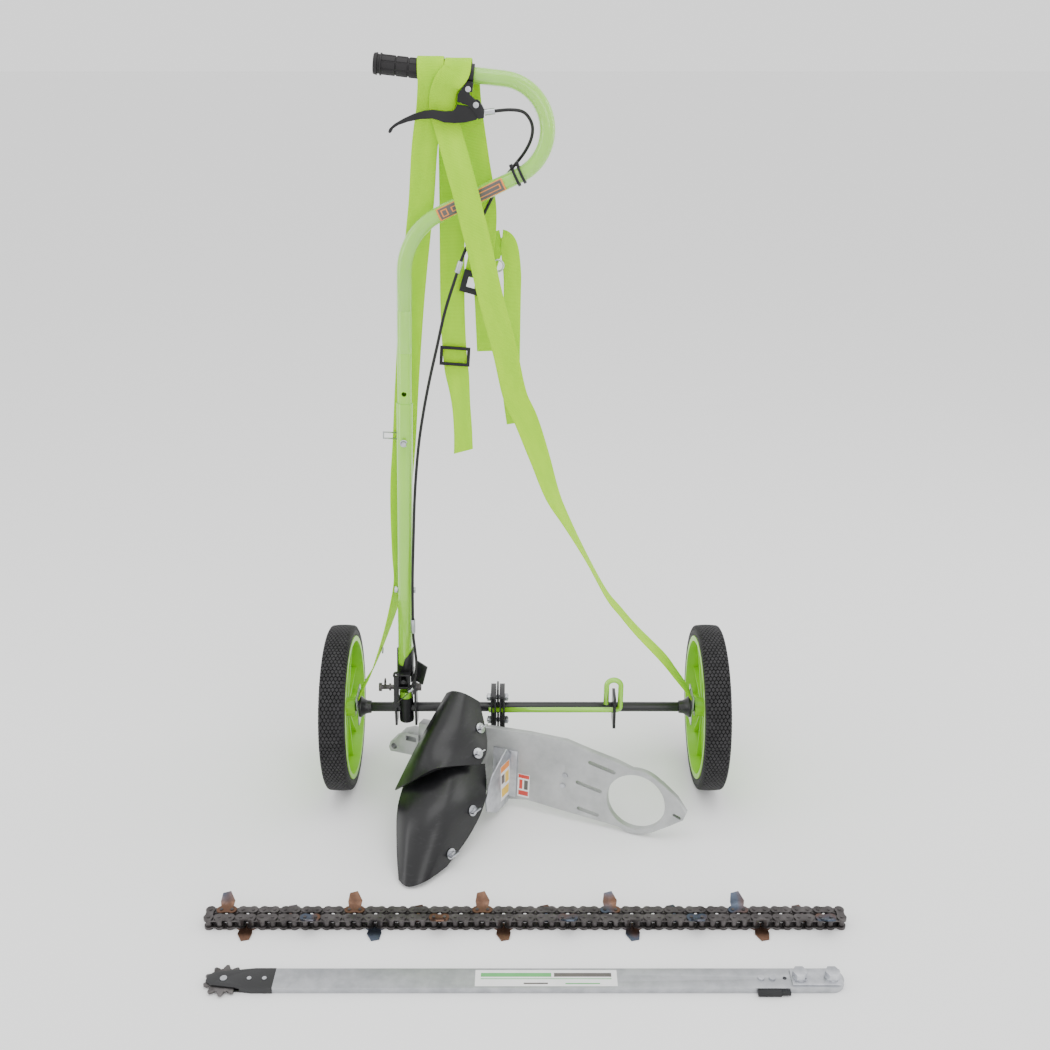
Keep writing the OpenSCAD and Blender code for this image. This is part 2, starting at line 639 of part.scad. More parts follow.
right_run = [[-94, 19, 1150, 0], [-94, 18.3, 1185, 0], [-94, 18.1, 1204.3, 0], [-93.6, 12.9, 1218.3, 0],
    [-93.6, 0, 1223.6, 0], [-94.4, -12.9, 1218.3, 0], [-97, -18.2, 1206.2, 0], [-109, -18.2, 1193, 0],
    [-116, -11, 1178, 0], [-118, -6, 1163, 0], [-117, -5.5, 1150, 0], [-111, -6.5, 1128, 0],
    [-98, -24, 1085, 0], [-86, -28, 1040, 0], [-66, -28, 955, 0], [-52, -28, 890, 0],
    [-31, -28, 806, 0], [-16, -26, 735, 5], [2, -24, 692, 15], [24, -20, 627, 35], [44, -16, 564, 55],
    [66, -12, 517, 74], [102, -8, 446, 88], [138, -6, 375, 90], [163, -6, 341, 88], [192, -6, 304, 84],
    [240, -5, 250, 80], [264, -3, 216, 84], [284, 0, 186, 88], [anchor_reach, 0, 171, 90]];
back_run = [[-84, 21.5, 1200, 0], [-82, 23, 1160, 0], [-72, 26, 1083, 0], [-62, 30, 1010, 0],
    [-66, 31, 950, 0], [-76, 28, 905, 0]];
centre_run = [[-108, 27, 1136, 0], [-110, 32, 1024, 0], [-113, 32, 871, 0], [-112, 31, 800, 0],
    [-110, 31, 766, 2], [-106, 30.5, 735, 30], [-103, 30, 700, 44], [-101, 30, 655, 42],
    [-101, 30, 620, 38]];
loop_run = [[-62, 31, 789, 0], [-64, 29.2, 860, 0], [-64, 31, 892, 0], [-54, 37.5, 932, 0],
    [-40, 38.5, 962, 0], [-26, 38, 955, 0], [-20, 37, 915, 10], [-20, 36, 870, 15], [-22, 36, 773, 10],
    [-22, 36, 720, 5], [-16, 38, 666, 6]];
module strap_left() { color(green) at_axle() webbing(left_run, 72); }
module strap_right() { color(green) at_axle() webbing(right_run, 87); }
module strap_back() { color(green) at_axle() webbing(back_run, 20); }
module strap_centre() { color(green) at_axle() webbing(centre_run, 20); }
module strap_loop() { color(green) at_axle() webbing(loop_run, 40, web_w - 10); }

// The two buckles hug the webbing: a slide on the centre strap, a cam buckle on the back strap
module buckle_frame(w, h, t, bar) {
    translate([-w / 2, -t / 2, -h / 2]) difference() {
        cube([w, t, h]);
        translate([bar, -1, bar]) cube([w - 2 * bar, t + 2, h - 2 * bar]);
    }
}
module strap_buckles() {
    color(black) at_axle() {
        translate([-111, 25.8, 782]) rotate([-2, 4, 0]) buckle_frame(web_w + 10, 31, 3, 5);
        translate([-76, 23.7, 898]) rotate([8, 16, 0]) buckle_frame(web_w + 6, 36, 4, 9);
    }
}
module strap_rings() {
    color(steel) at_axle() {
        translate([-42, 27.5, 925]) rotate([90, 0, 0]) rotate_extrude() translate([9, 0]) circle(1.5);
        translate([-249, 10, 256]) rotate([0, 90, 0]) rotate_extrude() translate([5, 0]) circle(1.2);
    }
}

// ---- Adapter arm, in its own plate plane: x along it, y up it, z towards the front ----
arm_foot = [196, -169, 7];
drive = [-11, 55];
module on_arm() {
    at_axle() translate(arm_foot) rotate([0, 0, -arm_yaw]) rotate([83, 0, 0]) children();
}
module slot2d(a, b, r) {
    way = atan2(b[1] - a[1], b[0] - a[0]);
    polygon(concat([for (k = [0 : 8]) a + r * [cos(way + 90 + k * 22.5), sin(way + 90 + k * 22.5)]],
                   [for (k = [0 : 8]) b + r * [cos(way - 90 + k * 22.5), sin(way - 90 + k * 22.5)]]));
}
module arm() {
    rim = drive_bore / 2 + 9;
    color(cast) on_arm() {
        translate([0, 0, -arm_t / 2]) linear_extrude(arm_t) difference() {
            union() {
                translate(drive) circle(rim);
                polygon([[-350, 124], [-276, 137], [-206, 141], [-139, 141], [-95, 131], [-48, 122],
                    [-11, drive[1] + rim - 4],
                    [-11, drive[1] - rim + 4], [-66, 4], [-141, 9], [-204, 14], [-248, 6], [-300, 20],
                    [-350, 52]]);
                polygon([[2, drive[1] + rim - 5], [31, 99], [58, 78], [76, 54], [72, 41], [52, 26],
                    [20, 4], [-11, 40]]);
            }
            translate(drive) circle(drive_bore / 2);
            slot2d([-94, 111], [-52, 102], 3.6);
            slot2d([-114, 69], [-74, 61], 3.6);
            slot2d([-109, 20], [-76, 15], 3.6);
            slot2d([56, 47], [66, 43], 2.6);
            for (p = [[-137, 77], [-140, 57]]) translate(p) circle(2.6);
            translate(guard_bolt) circle(4.1);
        }
        difference() {
            union() {
                translate([0, 0, -16]) linear_extrude(32)
                    polygon([[-462, 57], [-465, 64], [-462, 76], [-452, 82], [-446, 92], [-430, 99],
                        [-408, 99], [-408, 58]]);
                translate([-410, 70, -10]) cube([70, 50, 20]);
            }
            translate([-455, 68, -30]) cylinder(r = 6, h = 70);
            translate([-432, 84, -30]) cube([20, 10, 60]);
        }
    }
}

module arm_screws() {
    face = arm_t / 2;
    color(steel) on_arm() for (p = [[-137, 77], [-140, 57]]) translate([p[0], p[1], -face - 1]) {
        cylinder(r = 2.5, h = arm_t + 2);
        translate([0, 0, arm_t + 1 + touch]) cylinder(r = 4.6, h = 2.6);
    }
    color(steel) on_arm() translate([guard_bolt[0], guard_bolt[1], -face - 6]) {
        cylinder(r = 4, h = arm_t + 10);
        translate([0, 0, -touch]) hexagon(13, 6);
        translate([0, 0, arm_t + 8.5 + 3 * touch]) hexagon(13, 5.3);
    }
}

// The soil guard: sheets ruled between a right and a left edge, bulging to the front.
// Rows run from the top edge to the bottom edge, points from left to right.
upper_grid = [
    [[-134, -38, 197], [-122, -46, 206], [-104, -52, 205], [-80, -50, 188]],
    [[-160, -66, 160], [-144, -92, 178], [-112, -106, 172], [-68, -84, 148]],
    [[-190, -106, 118], [-170, -136, 146], [-126, -142, 148], [-66, -112, 130]],
    [[-218, -150, 76], [-186, -172, 110], [-142, -172, 136], [-76, -134, 117]]];
lower_grid = [
    [[-200, -122, 86], [-174, -136, 103], [-124, -139, 120], [-70, -103, 96]],
    [[-210, -186, 70], [-184, -214, 82], [-130, -213, 90], [-68, -159, 66]],
    [[-208, -240, 36], [-187, -266, 42], [-144, -258, 49], [-92, -207, 32]],
    [[-202, -290, 4], [-186, -304, 3], [-162, -297, 7], [-129, -263, 9]]];
function bez(a, b, c, d, t) = let (s = 1 - t)
    a * s * s * s + 3 * b * s * s * t + 3 * c * s * t * t + d * t * t * t;
function through(r, t) = smooth_at(r, t * (len(r) - 1));
function sheet_at(g, u, v) = through([for (row = g) through(row, u)], v);
function sheet_normal(g, u, v) = let (e = 0.02,
    a = sheet_at(g, min(u + e, 1), v) - sheet_at(g, max(u - e, 0), v),
    b = sheet_at(g, u, min(v + e, 1)) - sheet_at(g, u, max(v - e, 0))) unit(cross(b, a));
module sheet(g, nu, nv, inner, outer, u0 = 0, u1 = 1, v0 = 0, v1 = 1) {
    uv = [for (j = [0 : nv], i = [0 : nu]) [u0 + (u1 - u0) * i / nu, v0 + (v1 - v0) * j / nv]];
    count = len(uv);
    pts = concat([for (p = uv) sheet_at(g, p[0], p[1]) + outer * sheet_normal(g, p[0], p[1])],
                 [for (p = uv) sheet_at(g, p[0], p[1]) + inner * sheet_normal(g, p[0], p[1])]);
    w = nu + 1;
    rim = concat([for (i = [0 : nu - 1]) i], [for (j = [0 : nv - 1]) j * w + nu],
                 [for (i = [nu : -1 : 1]) nv * w + i], [for (j = [nv : -1 : 1]) j * w]);
    faces = concat(
        [for (j = [0 : nv - 1], i = [0 : nu - 1]) let (a = j * w + i) each [[a, a + w, a + 1],
            [a + 1, a + w, a + w + 1]]],
        [for (j = [0 : nv - 1], i = [0 : nu - 1]) let (a = count + j * w + i)
            each [[a, a + 1, a + w], [a + 1, a + w + 1, a + w]]],
        [for (k = [0 : len(rim) - 1]) let (a = rim[k], b = rim[(k + 1) % len(rim)])
            each [[a, b, count + a], [b, count + b, count + a]]]);
    polyhedron(points = pts, faces = faces, convexity = 6);
}
flap_t = 3;
module flap_upper() { color(black) at_axle() sheet(upper_grid, 10, 10, 0, flap_t); }
module flap_lower() { color(black) at_axle() sheet(lower_grid, 10, 12, 0, flap_t); }
module guard_shell() {
    color(black) at_axle() {
        sheet(upper_grid, 6, 8, -3.4, -1, 0.45, 1, 0.03, 0.98);
        sheet(lower_grid, 6, 8, -3.4, -1, 0.45, 1, 0.3, 0.86);
    }
}

guard_bolt = [-248, 44];
module guard_plate() {
    color(steel) {
        difference() {
            at_axle() translate([-24, -84, 0]) rotate([90, 0, 240]) linear_extrude(2.5)
                polygon([[0, 12], [2, 104], [14, 122], [62, 96], [84, 60], [80, 34], [50, 12]]);
            on_arm() translate([-420, -60, -80]) cube([560, 260, 80 + arm_t / 2 + touch]);
        }
        on_arm() difference() {
            translate([-268, 16, arm_t / 2 + touch]) cube([44, 88, 2.5]);
            translate([guard_bolt[0], guard_bolt[1], 0]) cylinder(r = 4.1, h = 20);
        }
    }
}

screw_spots = [[1, 0.9, 0.3], [1, 0.9, 0.72], [2, 0.88, 0.42], [2, 0.86, 0.8]];
module wing_screws() {
    color(steel) at_axle() for (s = screw_spots) {
        g = s[0] == 1 ? upper_grid : lower_grid;
        n = sheet_normal(g, s[1], s[2]);
        translate(sheet_at(g, s[1], s[2]) + n * (flap_t + 0.6))
            rotate([0, acos(n[2]), atan2(n[1], n[0])]) {
                cylinder(r = 9, h = 1.6);
                translate([0, 0, 1.6]) cylinder(r = 4.5, h = 5);
                translate([-1.2, -9, 3]) cube([2.4, 18, 9]);
            }
    }
}

// ---- Cutter chain, lying on its side ----
link_count = 2 * run_links + 2;
half_run = run_links * pitch / 2;
layer = plate_t + 0.1;
roller_h = 10;
plate_r = 7.4;
function pin_at(k) = let (m = k % link_count)
    m <= run_links ? [-half_run + m * pitch, pitch / 2] : [half_run - (m - run_links - 1) * pitch, -pitch / 2];
module chain_link(k) {
    a = pin_at(k);
    d = pin_at(k + 1) - a;
    translate([a[0], a[1], 0]) rotate([0, 0, atan2(d[1], d[0])]) children();
}
module at_chain() { at_axle() translate([0, chain_y, 0]) children(); }
module plate2d() {
    difference() {
        union() {
            circle(plate_r);
            translate([pitch, 0]) circle(plate_r);
            translate([0, -plate_r + 1.6]) square([pitch, 2 * plate_r - 3.2]);
        }
        circle(2.5);
        translate([pitch, 0]) circle(2.5);
    }
}
inner_low = layer;
inner_high = 2 * layer + roller_h + 0.1;
outer_high = inner_high + layer;
function is_upper_cutter(k) = (k % 12 == 1 && k < run_links) || (k > run_links && (k - run_links) % 12 == 2);
function is_lower_cutter(k) = (k % 12 == 7 && k < run_links) || (k > run_links && (k - run_links) % 12 == 8);
module chain_inner_plates() {
    color([0.45, 0.45, 0.47]) at_chain() for (k = [0 : 2 : link_count - 1]) chain_link(k)
        for (z = [inner_low, inner_high]) translate([0, 0, z]) linear_extrude(plate_t) plate2d();
}
module chain_outer_plates() {
    color([0.35, 0.35, 0.37]) at_chain() for (k = [1 : 2 : link_count - 1]) chain_link(k) {
        if (!is_lower_cutter(k)) linear_extrude(plate_t) plate2d();
        if (!is_upper_cutter(k)) translate([0, 0, outer_high]) linear_extrude(plate_t) plate2d();
    }
}
// A cutter is an outer plate whose outer edge carries a tooth: bent up on the upper side
module cutter(bend) {
    linear_extrude(plate_t) plate2d();
    translate([pitch / 2, plate_r - 3, 0]) rotate([bend, 0, 0]) linear_extrude(plate_t)
        polygon([[-9, 0], [9, 0], [11, 12], [3, 26], [-9, 23], [-11, 10]]);
}
module chain_cutters() {
    color([0.4, 0.3, 0.25]) at_chain() for (k = [1 : 2 : link_count - 1]) chain_link(k) {
        if (is_lower_cutter(k)) cutter(0);
        if (is_upper_cutter(k)) translate([0, 0, outer_high]) cutter(38);
    }
}
module chain_rollers() {
    color([0.5, 0.5, 0.52]) at_chain() for (k = [0 : link_count - 1]) {
        p = pin_at(k);
        translate([p[0], p[1], 2 * layer]) difference() {
            cylinder(r = roller_d / 2, h = roller_h);
            translate([0, 0, -1]) cylinder(r = 2.55, h = roller_h + 2);
        }
    }
}
module chain_pins() {
    color([0.6, 0.6, 0.62]) at_chain() for (k = [0 : link_count - 1]) {
        p = pin_at(k);
        translate([p[0], p[1], 0]) cylinder(r = 2.5, h = outer_high + plate_t + 0.8);
    }
}

// ---- Guide bar ----
bar_tail = 460.5;
nose_root = bar_tail - bar_len;
nose_len = 98;
sprocket_x = nose_root - 73;
sprocket_t = 4;
tooth_r = 29;
clamp_x = 384;
clamp_len = 73;
clamp_bolts = [396, 443];
bar_screws = [341, 357];
module at_bar() { at_axle() translate([0, bar_y, 0]) children(); }
module guide_bar() {
    color(steel) at_bar() difference() {
        union() {
            translate([nose_root, -bar_w / 2, 0]) cube([bar_len - bar_w / 2, bar_w, bar_t]);
            translate([bar_tail - bar_w / 2, 0, 0]) cylinder(r = bar_w / 2, h = bar_t);
        }
        for (x = clamp_bolts) translate([x, 0, -1]) cylinder(r = 6.5, h = bar_t + 2);
        for (x = bar_screws) translate([x, 0, -1]) cylinder(r = 2.6, h = bar_t + 2);
        translate([375, 0, -1]) cylinder(r = 3, h = bar_t + 2);
    }
}
module nose_outline() {
    polygon([[nose_root - touch, -20], [nose_root - touch, 20], [nose_root - 30, 20],
        [nose_root - nose_len + 20, 14],
        [nose_root - nose_len + 8, 12], [nose_root - nose_len, 5], [nose_root - nose_len, -5],
        [nose_root - nose_len + 8, -12], [nose_root - nose_len + 20, -14], [nose_root - 30, -20]]);
}
module bar_nose() {
    middle = bar_t / 2;
    color(black) at_bar() difference() {
        linear_extrude(bar_t) nose_outline();
        translate([sprocket_x, 0, middle - sprocket_t / 2 - 0.3]) cylinder(r = tooth_r + 2,
            h = sprocket_t + 0.6);
        translate([sprocket_x, 0, -1]) cylinder(r = 5, h = bar_t + 2);
    }
}
module nose_sprocket() {
    color(steel) at_bar() translate([sprocket_x, 0, bar_t / 2]) {
        difference() {
            translate([0, 0, -sprocket_t / 2]) linear_extrude(sprocket_t) union() {
                circle(22);
                for (k = [0 : nose_teeth - 1]) rotate(270 + k * 360 / nose_teeth)
                    polygon([[18, -6], [24, -4.6], [tooth_r, -1.8], [tooth_r, 1.8], [24, 4.6], [18, 6]]);
            }
            cylinder(r = 5 + fit, h = 20, center = true);
        }
    }
}
module clamp_plate() {
    color(steel) at_bar() translate([clamp_x, -15, bar_t + touch]) difference() {
        cube([clamp_len, 30, 3]);
        for (x = clamp_bolts) translate([x - clamp_x, 15, -1]) cylinder(r = 6.5, h = 6);
    }
}
module bar_fasteners() {
    top = bar_t + 3 + 2 * touch;
    color(steel) at_bar() {
        for (x = clamp_bolts) translate([x, 0, 0.5]) {
            cylinder(r = 6.3, h = top);
            translate([0, 0, top - 0.5]) cylinder(r = 11, h = 2.5);
            translate([0, 0, top + 2]) hexagon(19, 8);
        }
        for (x = bar_screws) translate([x, 0, 0.5]) {
            cylinder(r = 2.5, h = bar_t);
            translate([0, 0, bar_t - 0.5 + touch]) cylinder(r = 4.8, h = 2.4);
        }
        translate([sprocket_x, 0, 0]) cylinder(r = 5 - 0.01, h = bar_t + 0.8);
        for (x = [-36, -14]) translate([nose_root + x, 0, bar_t + touch]) cylinder(r = 3.2, h = 0.8);
    }
}
module tensioner() {
    near = -bar_w / 2 - touch;
    color(black) at_bar() {
        translate([333, near - 8, 1]) cube([34, 8, bar_t - 2]);
        translate([367 + touch, near - 7, 2]) cube([13, 7, bar_t - 4]);
    }
}

axle();
axle_flanges();
strap_anchors();
middle_bracket();
bracket_bolts();
rod_plate();
foot_ears();
foot_sleeve();
foot_stub();
pivot_pin();
axle_caps();
wheel_left();
tyre_left();
wheel_right();
tyre_right();
mast_socket();
foot_cover();
mast_tube();
mast_bolt();
height_pin();
handle_stem();
handle_bar();
handle_sleeve();
grip();
lever_perch();
perch_bolts();
cable_ties();
cable_housing();
cable_fittings();
cable_wire();
strap_left();
strap_right();
strap_back();
strap_centre();
strap_loop();
strap_buckles();
strap_rings();
brake_lever();
latch();
pin_bail();
lock_rod();
arm();
arm_screws();
guard_shell();
guard_plate();
flap_upper();
flap_lower();
wing_screws();
chain_inner_plates();
chain_outer_plates();
chain_cutters();
chain_rollers();
chain_pins();
guide_bar();
bar_nose();
nose_sprocket();
clamp_plate();
bar_fasteners();
tensioner();
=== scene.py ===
import json
import math

import bmesh
import bpy
from mathutils import Matrix, Vector

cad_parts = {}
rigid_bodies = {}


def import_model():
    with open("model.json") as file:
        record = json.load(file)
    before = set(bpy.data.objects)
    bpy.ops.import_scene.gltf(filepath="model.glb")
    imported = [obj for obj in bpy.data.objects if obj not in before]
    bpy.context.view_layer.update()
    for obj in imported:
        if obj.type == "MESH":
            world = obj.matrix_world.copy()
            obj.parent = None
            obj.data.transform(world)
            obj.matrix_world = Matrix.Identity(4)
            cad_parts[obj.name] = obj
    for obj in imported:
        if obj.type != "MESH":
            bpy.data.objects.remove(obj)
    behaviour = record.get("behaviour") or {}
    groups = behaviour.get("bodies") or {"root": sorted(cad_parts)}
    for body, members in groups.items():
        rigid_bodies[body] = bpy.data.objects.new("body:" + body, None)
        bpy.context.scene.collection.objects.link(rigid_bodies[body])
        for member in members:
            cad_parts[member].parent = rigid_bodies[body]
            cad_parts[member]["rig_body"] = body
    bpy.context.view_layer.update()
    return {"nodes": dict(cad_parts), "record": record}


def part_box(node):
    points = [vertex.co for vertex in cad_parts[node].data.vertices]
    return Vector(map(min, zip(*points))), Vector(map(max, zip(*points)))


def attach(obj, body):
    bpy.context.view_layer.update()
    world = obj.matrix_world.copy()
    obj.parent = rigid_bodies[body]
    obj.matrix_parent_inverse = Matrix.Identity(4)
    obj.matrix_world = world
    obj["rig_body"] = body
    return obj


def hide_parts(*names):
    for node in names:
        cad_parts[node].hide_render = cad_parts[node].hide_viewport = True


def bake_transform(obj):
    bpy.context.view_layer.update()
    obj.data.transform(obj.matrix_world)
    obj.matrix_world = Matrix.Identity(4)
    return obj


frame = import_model()
wheelLow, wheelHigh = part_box("wheel_left")
axleY = (wheelLow.y + wheelHigh.y) / 2
axleZ = (wheelLow.z + wheelHigh.z) / 2
print("frame loaded, axle at", round(axleY, 4), round(axleZ, 4))

# camera, lights and floor
studio = {
    "back": 1.8165, "height": 1.317, "pitch": 24.2, "lens": 41.14,
    "worldLight": 1.4, "topPower": 28, "frontPower": 17, "sidePower": 12,
    "floorTone": (0.93, 0.93, 0.93, 1),
}
cameraData = bpy.data.cameras.new("camera")
cameraData.lens = studio["lens"]
cameraData.sensor_width = 36
camera = bpy.data.objects.new("camera", cameraData)
camera.location = (0, axleY - studio["back"], studio["height"])
camera.rotation_euler = (math.radians(90 - studio["pitch"]), 0, 0)
bpy.context.scene.collection.objects.link(camera)
bpy.context.scene.camera = camera


def areaLight(name, place, aim, size, power):
    data = bpy.data.lights.new(name, "AREA")
    data.shape = "RECTANGLE"
    data.size, data.size_y = size
    data.energy = power
    light = bpy.data.objects.new(name, data)
    light.location = place
    light.rotation_euler = (Vector(aim) - Vector(place)).to_track_quat("-Z", "Y").to_euler()
    bpy.context.scene.collection.objects.link(light)


areaLight("topLight", (0.1, axleY - 0.5, 2.9), (0, axleY - 0.2, 0.3), (2.6, 1.6), studio["topPower"])
areaLight("frontLight", (1.2, axleY - 2.9, 1.6), (0, axleY - 0.1, 0.5), (1.6, 1.6), studio["frontPower"])
areaLight("leftLight", (-2.3, axleY - 0.7, 1.2), (-0.1, axleY, 0.6), (0.7, 1.9), studio["sidePower"])
areaLight("rightLight", (2.3, axleY + 0.4, 1.3), (0.1, axleY, 0.6), (0.7, 1.9), studio["sidePower"])
world = bpy.data.worlds.new("studioWorld")
world.use_nodes = True
world.node_tree.nodes["Background"].inputs["Color"].default_value = (1, 1, 1, 1)
world.node_tree.nodes["Background"].inputs["Strength"].default_value = studio["worldLight"]
bpy.context.scene.world = world


# shader helpers
class Wire:
    def __init__(self, finish, socket):
        self.finish, self.socket = finish, socket

    def maths(self, operation, first, second):
        return self.finish.node("ShaderNodeMath", {"operation": operation}, {0: first, 1: second})

    def __add__(self, other):
        return self.maths("ADD", self, other)

    def __radd__(self, other):
        return self.maths("ADD", other, self)

    def __sub__(self, other):
        return self.maths("SUBTRACT", self, other)

    def __rsub__(self, other):
        return self.maths("SUBTRACT", other, self)

    def __mul__(self, other):
        return self.maths("MULTIPLY", self, other)

    def __rmul__(self, other):
        return self.maths("MULTIPLY", other, self)

    def __truediv__(self, other):
        return self.maths("DIVIDE", self, other)

    def __rtruediv__(self, other):
        return self.maths("DIVIDE", other, self)

    def __gt__(self, other):
        return self.maths("GREATER_THAN", self, other)

    def __lt__(self, other):
        return self.maths("LESS_THAN", self, other)

    def sine(self):
        return self.finish.node("ShaderNodeMath", {"operation": "SINE"}, {0: self})

    def size(self):
        return self.finish.node("ShaderNodeMath", {"operation": "ABSOLUTE"}, {0: self})

    def part(self, axis):
        return self.finish.node("ShaderNodeSeparateXYZ", {}, {0: self}, axis)


class Finish:
    def __init__(self, name, **constants):
        self.material = bpy.data.materials.new(name)
        self.material.use_nodes = True
        self.tree = self.material.node_tree
        self.tree.nodes.clear()
        self.shader = self.tree.nodes.new("ShaderNodeBsdfPrincipled")
        out = self.tree.nodes.new("ShaderNodeOutputMaterial")
        self.tree.links.new(self.shader.outputs[0], out.inputs["Surface"])
        for key, value in constants.items():
            self.shader.inputs[constantNames[key]].default_value = value

    def feed(self, socket, value):
        if isinstance(value, Wire):
            self.tree.links.new(value.socket, socket)
        elif isinstance(value, (tuple, list)) and len(value) == 3 and socket.type == "RGBA":
            socket.default_value = (*value, 1)
        else:
            socket.default_value = value

    def node(self, kind, settings=None, inputs=None, output=0):
        made = self.tree.nodes.new(kind)
        for key, value in (settings or {}).items():
            if key == "stops":
                while len(made.color_ramp.elements) < len(value):
                    made.color_ramp.elements.new(0.5)
                for element, (place, tone) in zip(made.color_ramp.elements, value):
                    element.position = place
                    element.color = (tone, tone, tone, 1)
            else:
                setattr(made, key, value)
        for key, value in (inputs or {}).items():
            self.feed(made.inputs[key], value)
        return Wire(self, made.outputs[output])

    def place(self, kind="Object"):
        return self.node("ShaderNodeTexCoord", output=kind)

    def stretched(self, vector, scale, turn=(0, 0, 0)):
        return self.node("ShaderNodeMapping", {}, {"Vector": vector, "Scale": scale, "Rotation": turn})

    def noise(self, vector, scale, detail=3, roughness=0.5):
        return self.node("ShaderNodeTexNoise", {}, {"Vector": vector, "Scale": scale, "Detail": detail,
                                                    "Roughness": roughness}, "Fac")

    def ramp(self, value, *stops):
        return self.node("ShaderNodeValToRGB", {"stops": stops}, {"Fac": value})

    def mixed(self, share, first, second):
        return self.node("ShaderNodeMix", {"data_type": "RGBA"}, {0: share, 6: first, 7: second}, 2)

    def bump(self, height, depth, strength=1.0):
        return self.node("ShaderNodeBump", {}, {"Height": height, "Distance": depth, "Strength": strength})

    def paint(self, **links):
        for key, value in links.items():
            self.feed(self.shader.inputs[constantNames[key]], value)
        return self.material


constantNames = {
    "color": "Base Color", "roughness": "Roughness", "metallic": "Metallic", "coat": "Coat Weight",
    "coatRoughness": "Coat Roughness", "normal": "Normal", "alpha": "Alpha", "sheen": "Sheen Weight",
    "sheenRoughness": "Sheen Roughness", "specular": "Specular IOR Level", "ior": "IOR",
    "subsurface": "Subsurface Weight", "emission": "Emission Color", "emissionStrength": "Emission Strength",
    "transmission": "Transmission Weight",
}


def paintedMetal(name, tone, dark, roughness, coat, orangePeel):
    finish = Finish(name, coat=coat, coatRoughness=0.08)
    spot = finish.place()
    cloud = finish.noise(spot, 9, 4)
    speck = finish.noise(spot, 900, 2)
    color = finish.mixed(finish.ramp(cloud, (0.35, 0), (0.75, 1)), tone, dark)
    rough = roughness + 0.12 * finish.noise(spot, 60, 3)
    return finish.paint(color=color, roughness=rough, normal=finish.bump(speck, orangePeel))


def platedSteel(name, tone, dark, roughness, grain=(400, 400, 400), depth=0.00005, metallic=1.0):
    finish = Finish(name, metallic=metallic)
    spot = finish.place()
    lines = finish.noise(finish.stretched(spot, grain), 1, 3)
    cloud = finish.noise(spot, 45, 4, 0.6)
    color = finish.mixed(finish.ramp(cloud, (0.35, 0), (0.7, 1)), tone, dark)
    rough = roughness + 0.22 * cloud + 0.1 * lines
    return finish.paint(color=color, roughness=rough, normal=finish.bump(lines, depth))


def mouldedPlastic(name, tone, dark, roughness, grain, depth, sheen=0.0, specular=0.5):
    finish = Finish(name, specular=specular, sheen=sheen)
    spot = finish.place()
    pebble = finish.noise(spot, grain, 3, 0.6)
    cloud = finish.noise(spot, 14, 3)
    color = finish.mixed(finish.ramp(cloud, (0.35, 0), (0.7, 1)), tone, dark)
    rough = roughness + 0.15 * finish.noise(spot, 35, 4)
    return finish.paint(color=color, roughness=rough, normal=finish.bump(pebble, depth))


finishes = {}
finishes["black_paint"] = paintedMetal("blackPowderCoat",
    (0.006, 0.006, 0.007), (0.012, 0.012, 0.014), 0.3, 0.12, 0.00012)
finishes["green_paint"] = paintedMetal("greenPowderCoat",
    (0.30, 0.68, 0.035), (0.25, 0.60, 0.025), 0.16, 1.0, 0.00004)
finishes["zinc"] = platedSteel("brightZinc", (0.60, 0.61, 0.64), (0.38, 0.39, 0.42), 0.2)
finishes["dark_steel"] = platedSteel("oiledSteel", (0.16, 0.15, 0.15), (0.08, 0.075, 0.075), 0.28)
finishes["green_plastic"] = mouldedPlastic("greenPlastic",
    (0.27, 0.64, 0.0), (0.22, 0.55, 0.0), 0.25, 500, 0.00008)
finishes["black_plastic"] = mouldedPlastic("blackPlastic",
    (0.006, 0.006, 0.007), (0.013, 0.013, 0.015), 0.36, 700, 0.00015, 0.0, 0.35)
finishes["grip_rubber"] = mouldedPlastic("gripRubber",
    (0.010, 0.009, 0.010), (0.018, 0.016, 0.017), 0.5, 900, 0.0002, 0.0, 0.35)
finishes["cable_jacket"] = mouldedPlastic("cableJacket",
    (0.005, 0.005, 0.005), (0.010, 0.010, 0.010), 0.28, 600, 0.00005, 0.0, 0.35)
finishes["bar_steel"] = platedSteel("groundSteel",
    (0.50, 0.51, 0.53), (0.38, 0.39, 0.41), 0.24, (14, 900, 900), 0.00008)
finishes["chain_steel"] = platedSteel("chainSteel",
    (0.13, 0.12, 0.12), (0.055, 0.05, 0.05), 0.3, (500, 500, 500), 0.00012)


def cutterSteel():
    finish = Finish("cutterSteel", metallic=1.0)
    spot = finish.place()
    cloud = finish.noise(spot, 11, 2)
    fine = finish.noise(spot, 300, 3)
    warm = finish.mixed(finish.ramp(cloud, (0.45, 0), (0.55, 1)), (0.18, 0.095, 0.06), (0.085, 0.11, 0.155))
    return finish.paint(color=finish.mixed(fine * 0.6, warm, (0.05, 0.042, 0.04)),
                        roughness=0.24 + 0.25 * fine, normal=finish.bump(fine, 0.0001))


finishes["cutter_steel"] = cutterSteel()


def castAluminium():
    finish = Finish("castAluminium", metallic=0.75)
    spot = finish.place()
    sand = finish.noise(spot, 1100, 4, 0.65)
    cloud = finish.noise(spot, 26, 4, 0.6)
    pits = finish.noise(spot, 240, 2)
    color = finish.mixed(finish.ramp(cloud, (0.35, 0), (0.72, 1)), (0.52, 0.53, 0.53), (0.40, 0.41, 0.41))
    height = 0.7 * sand + 0.3 * pits
    return finish.paint(color=color, roughness=0.42 + 0.16 * cloud, normal=finish.bump(height, 0.0004))


finishes["cast_aluminium"] = castAluminium()


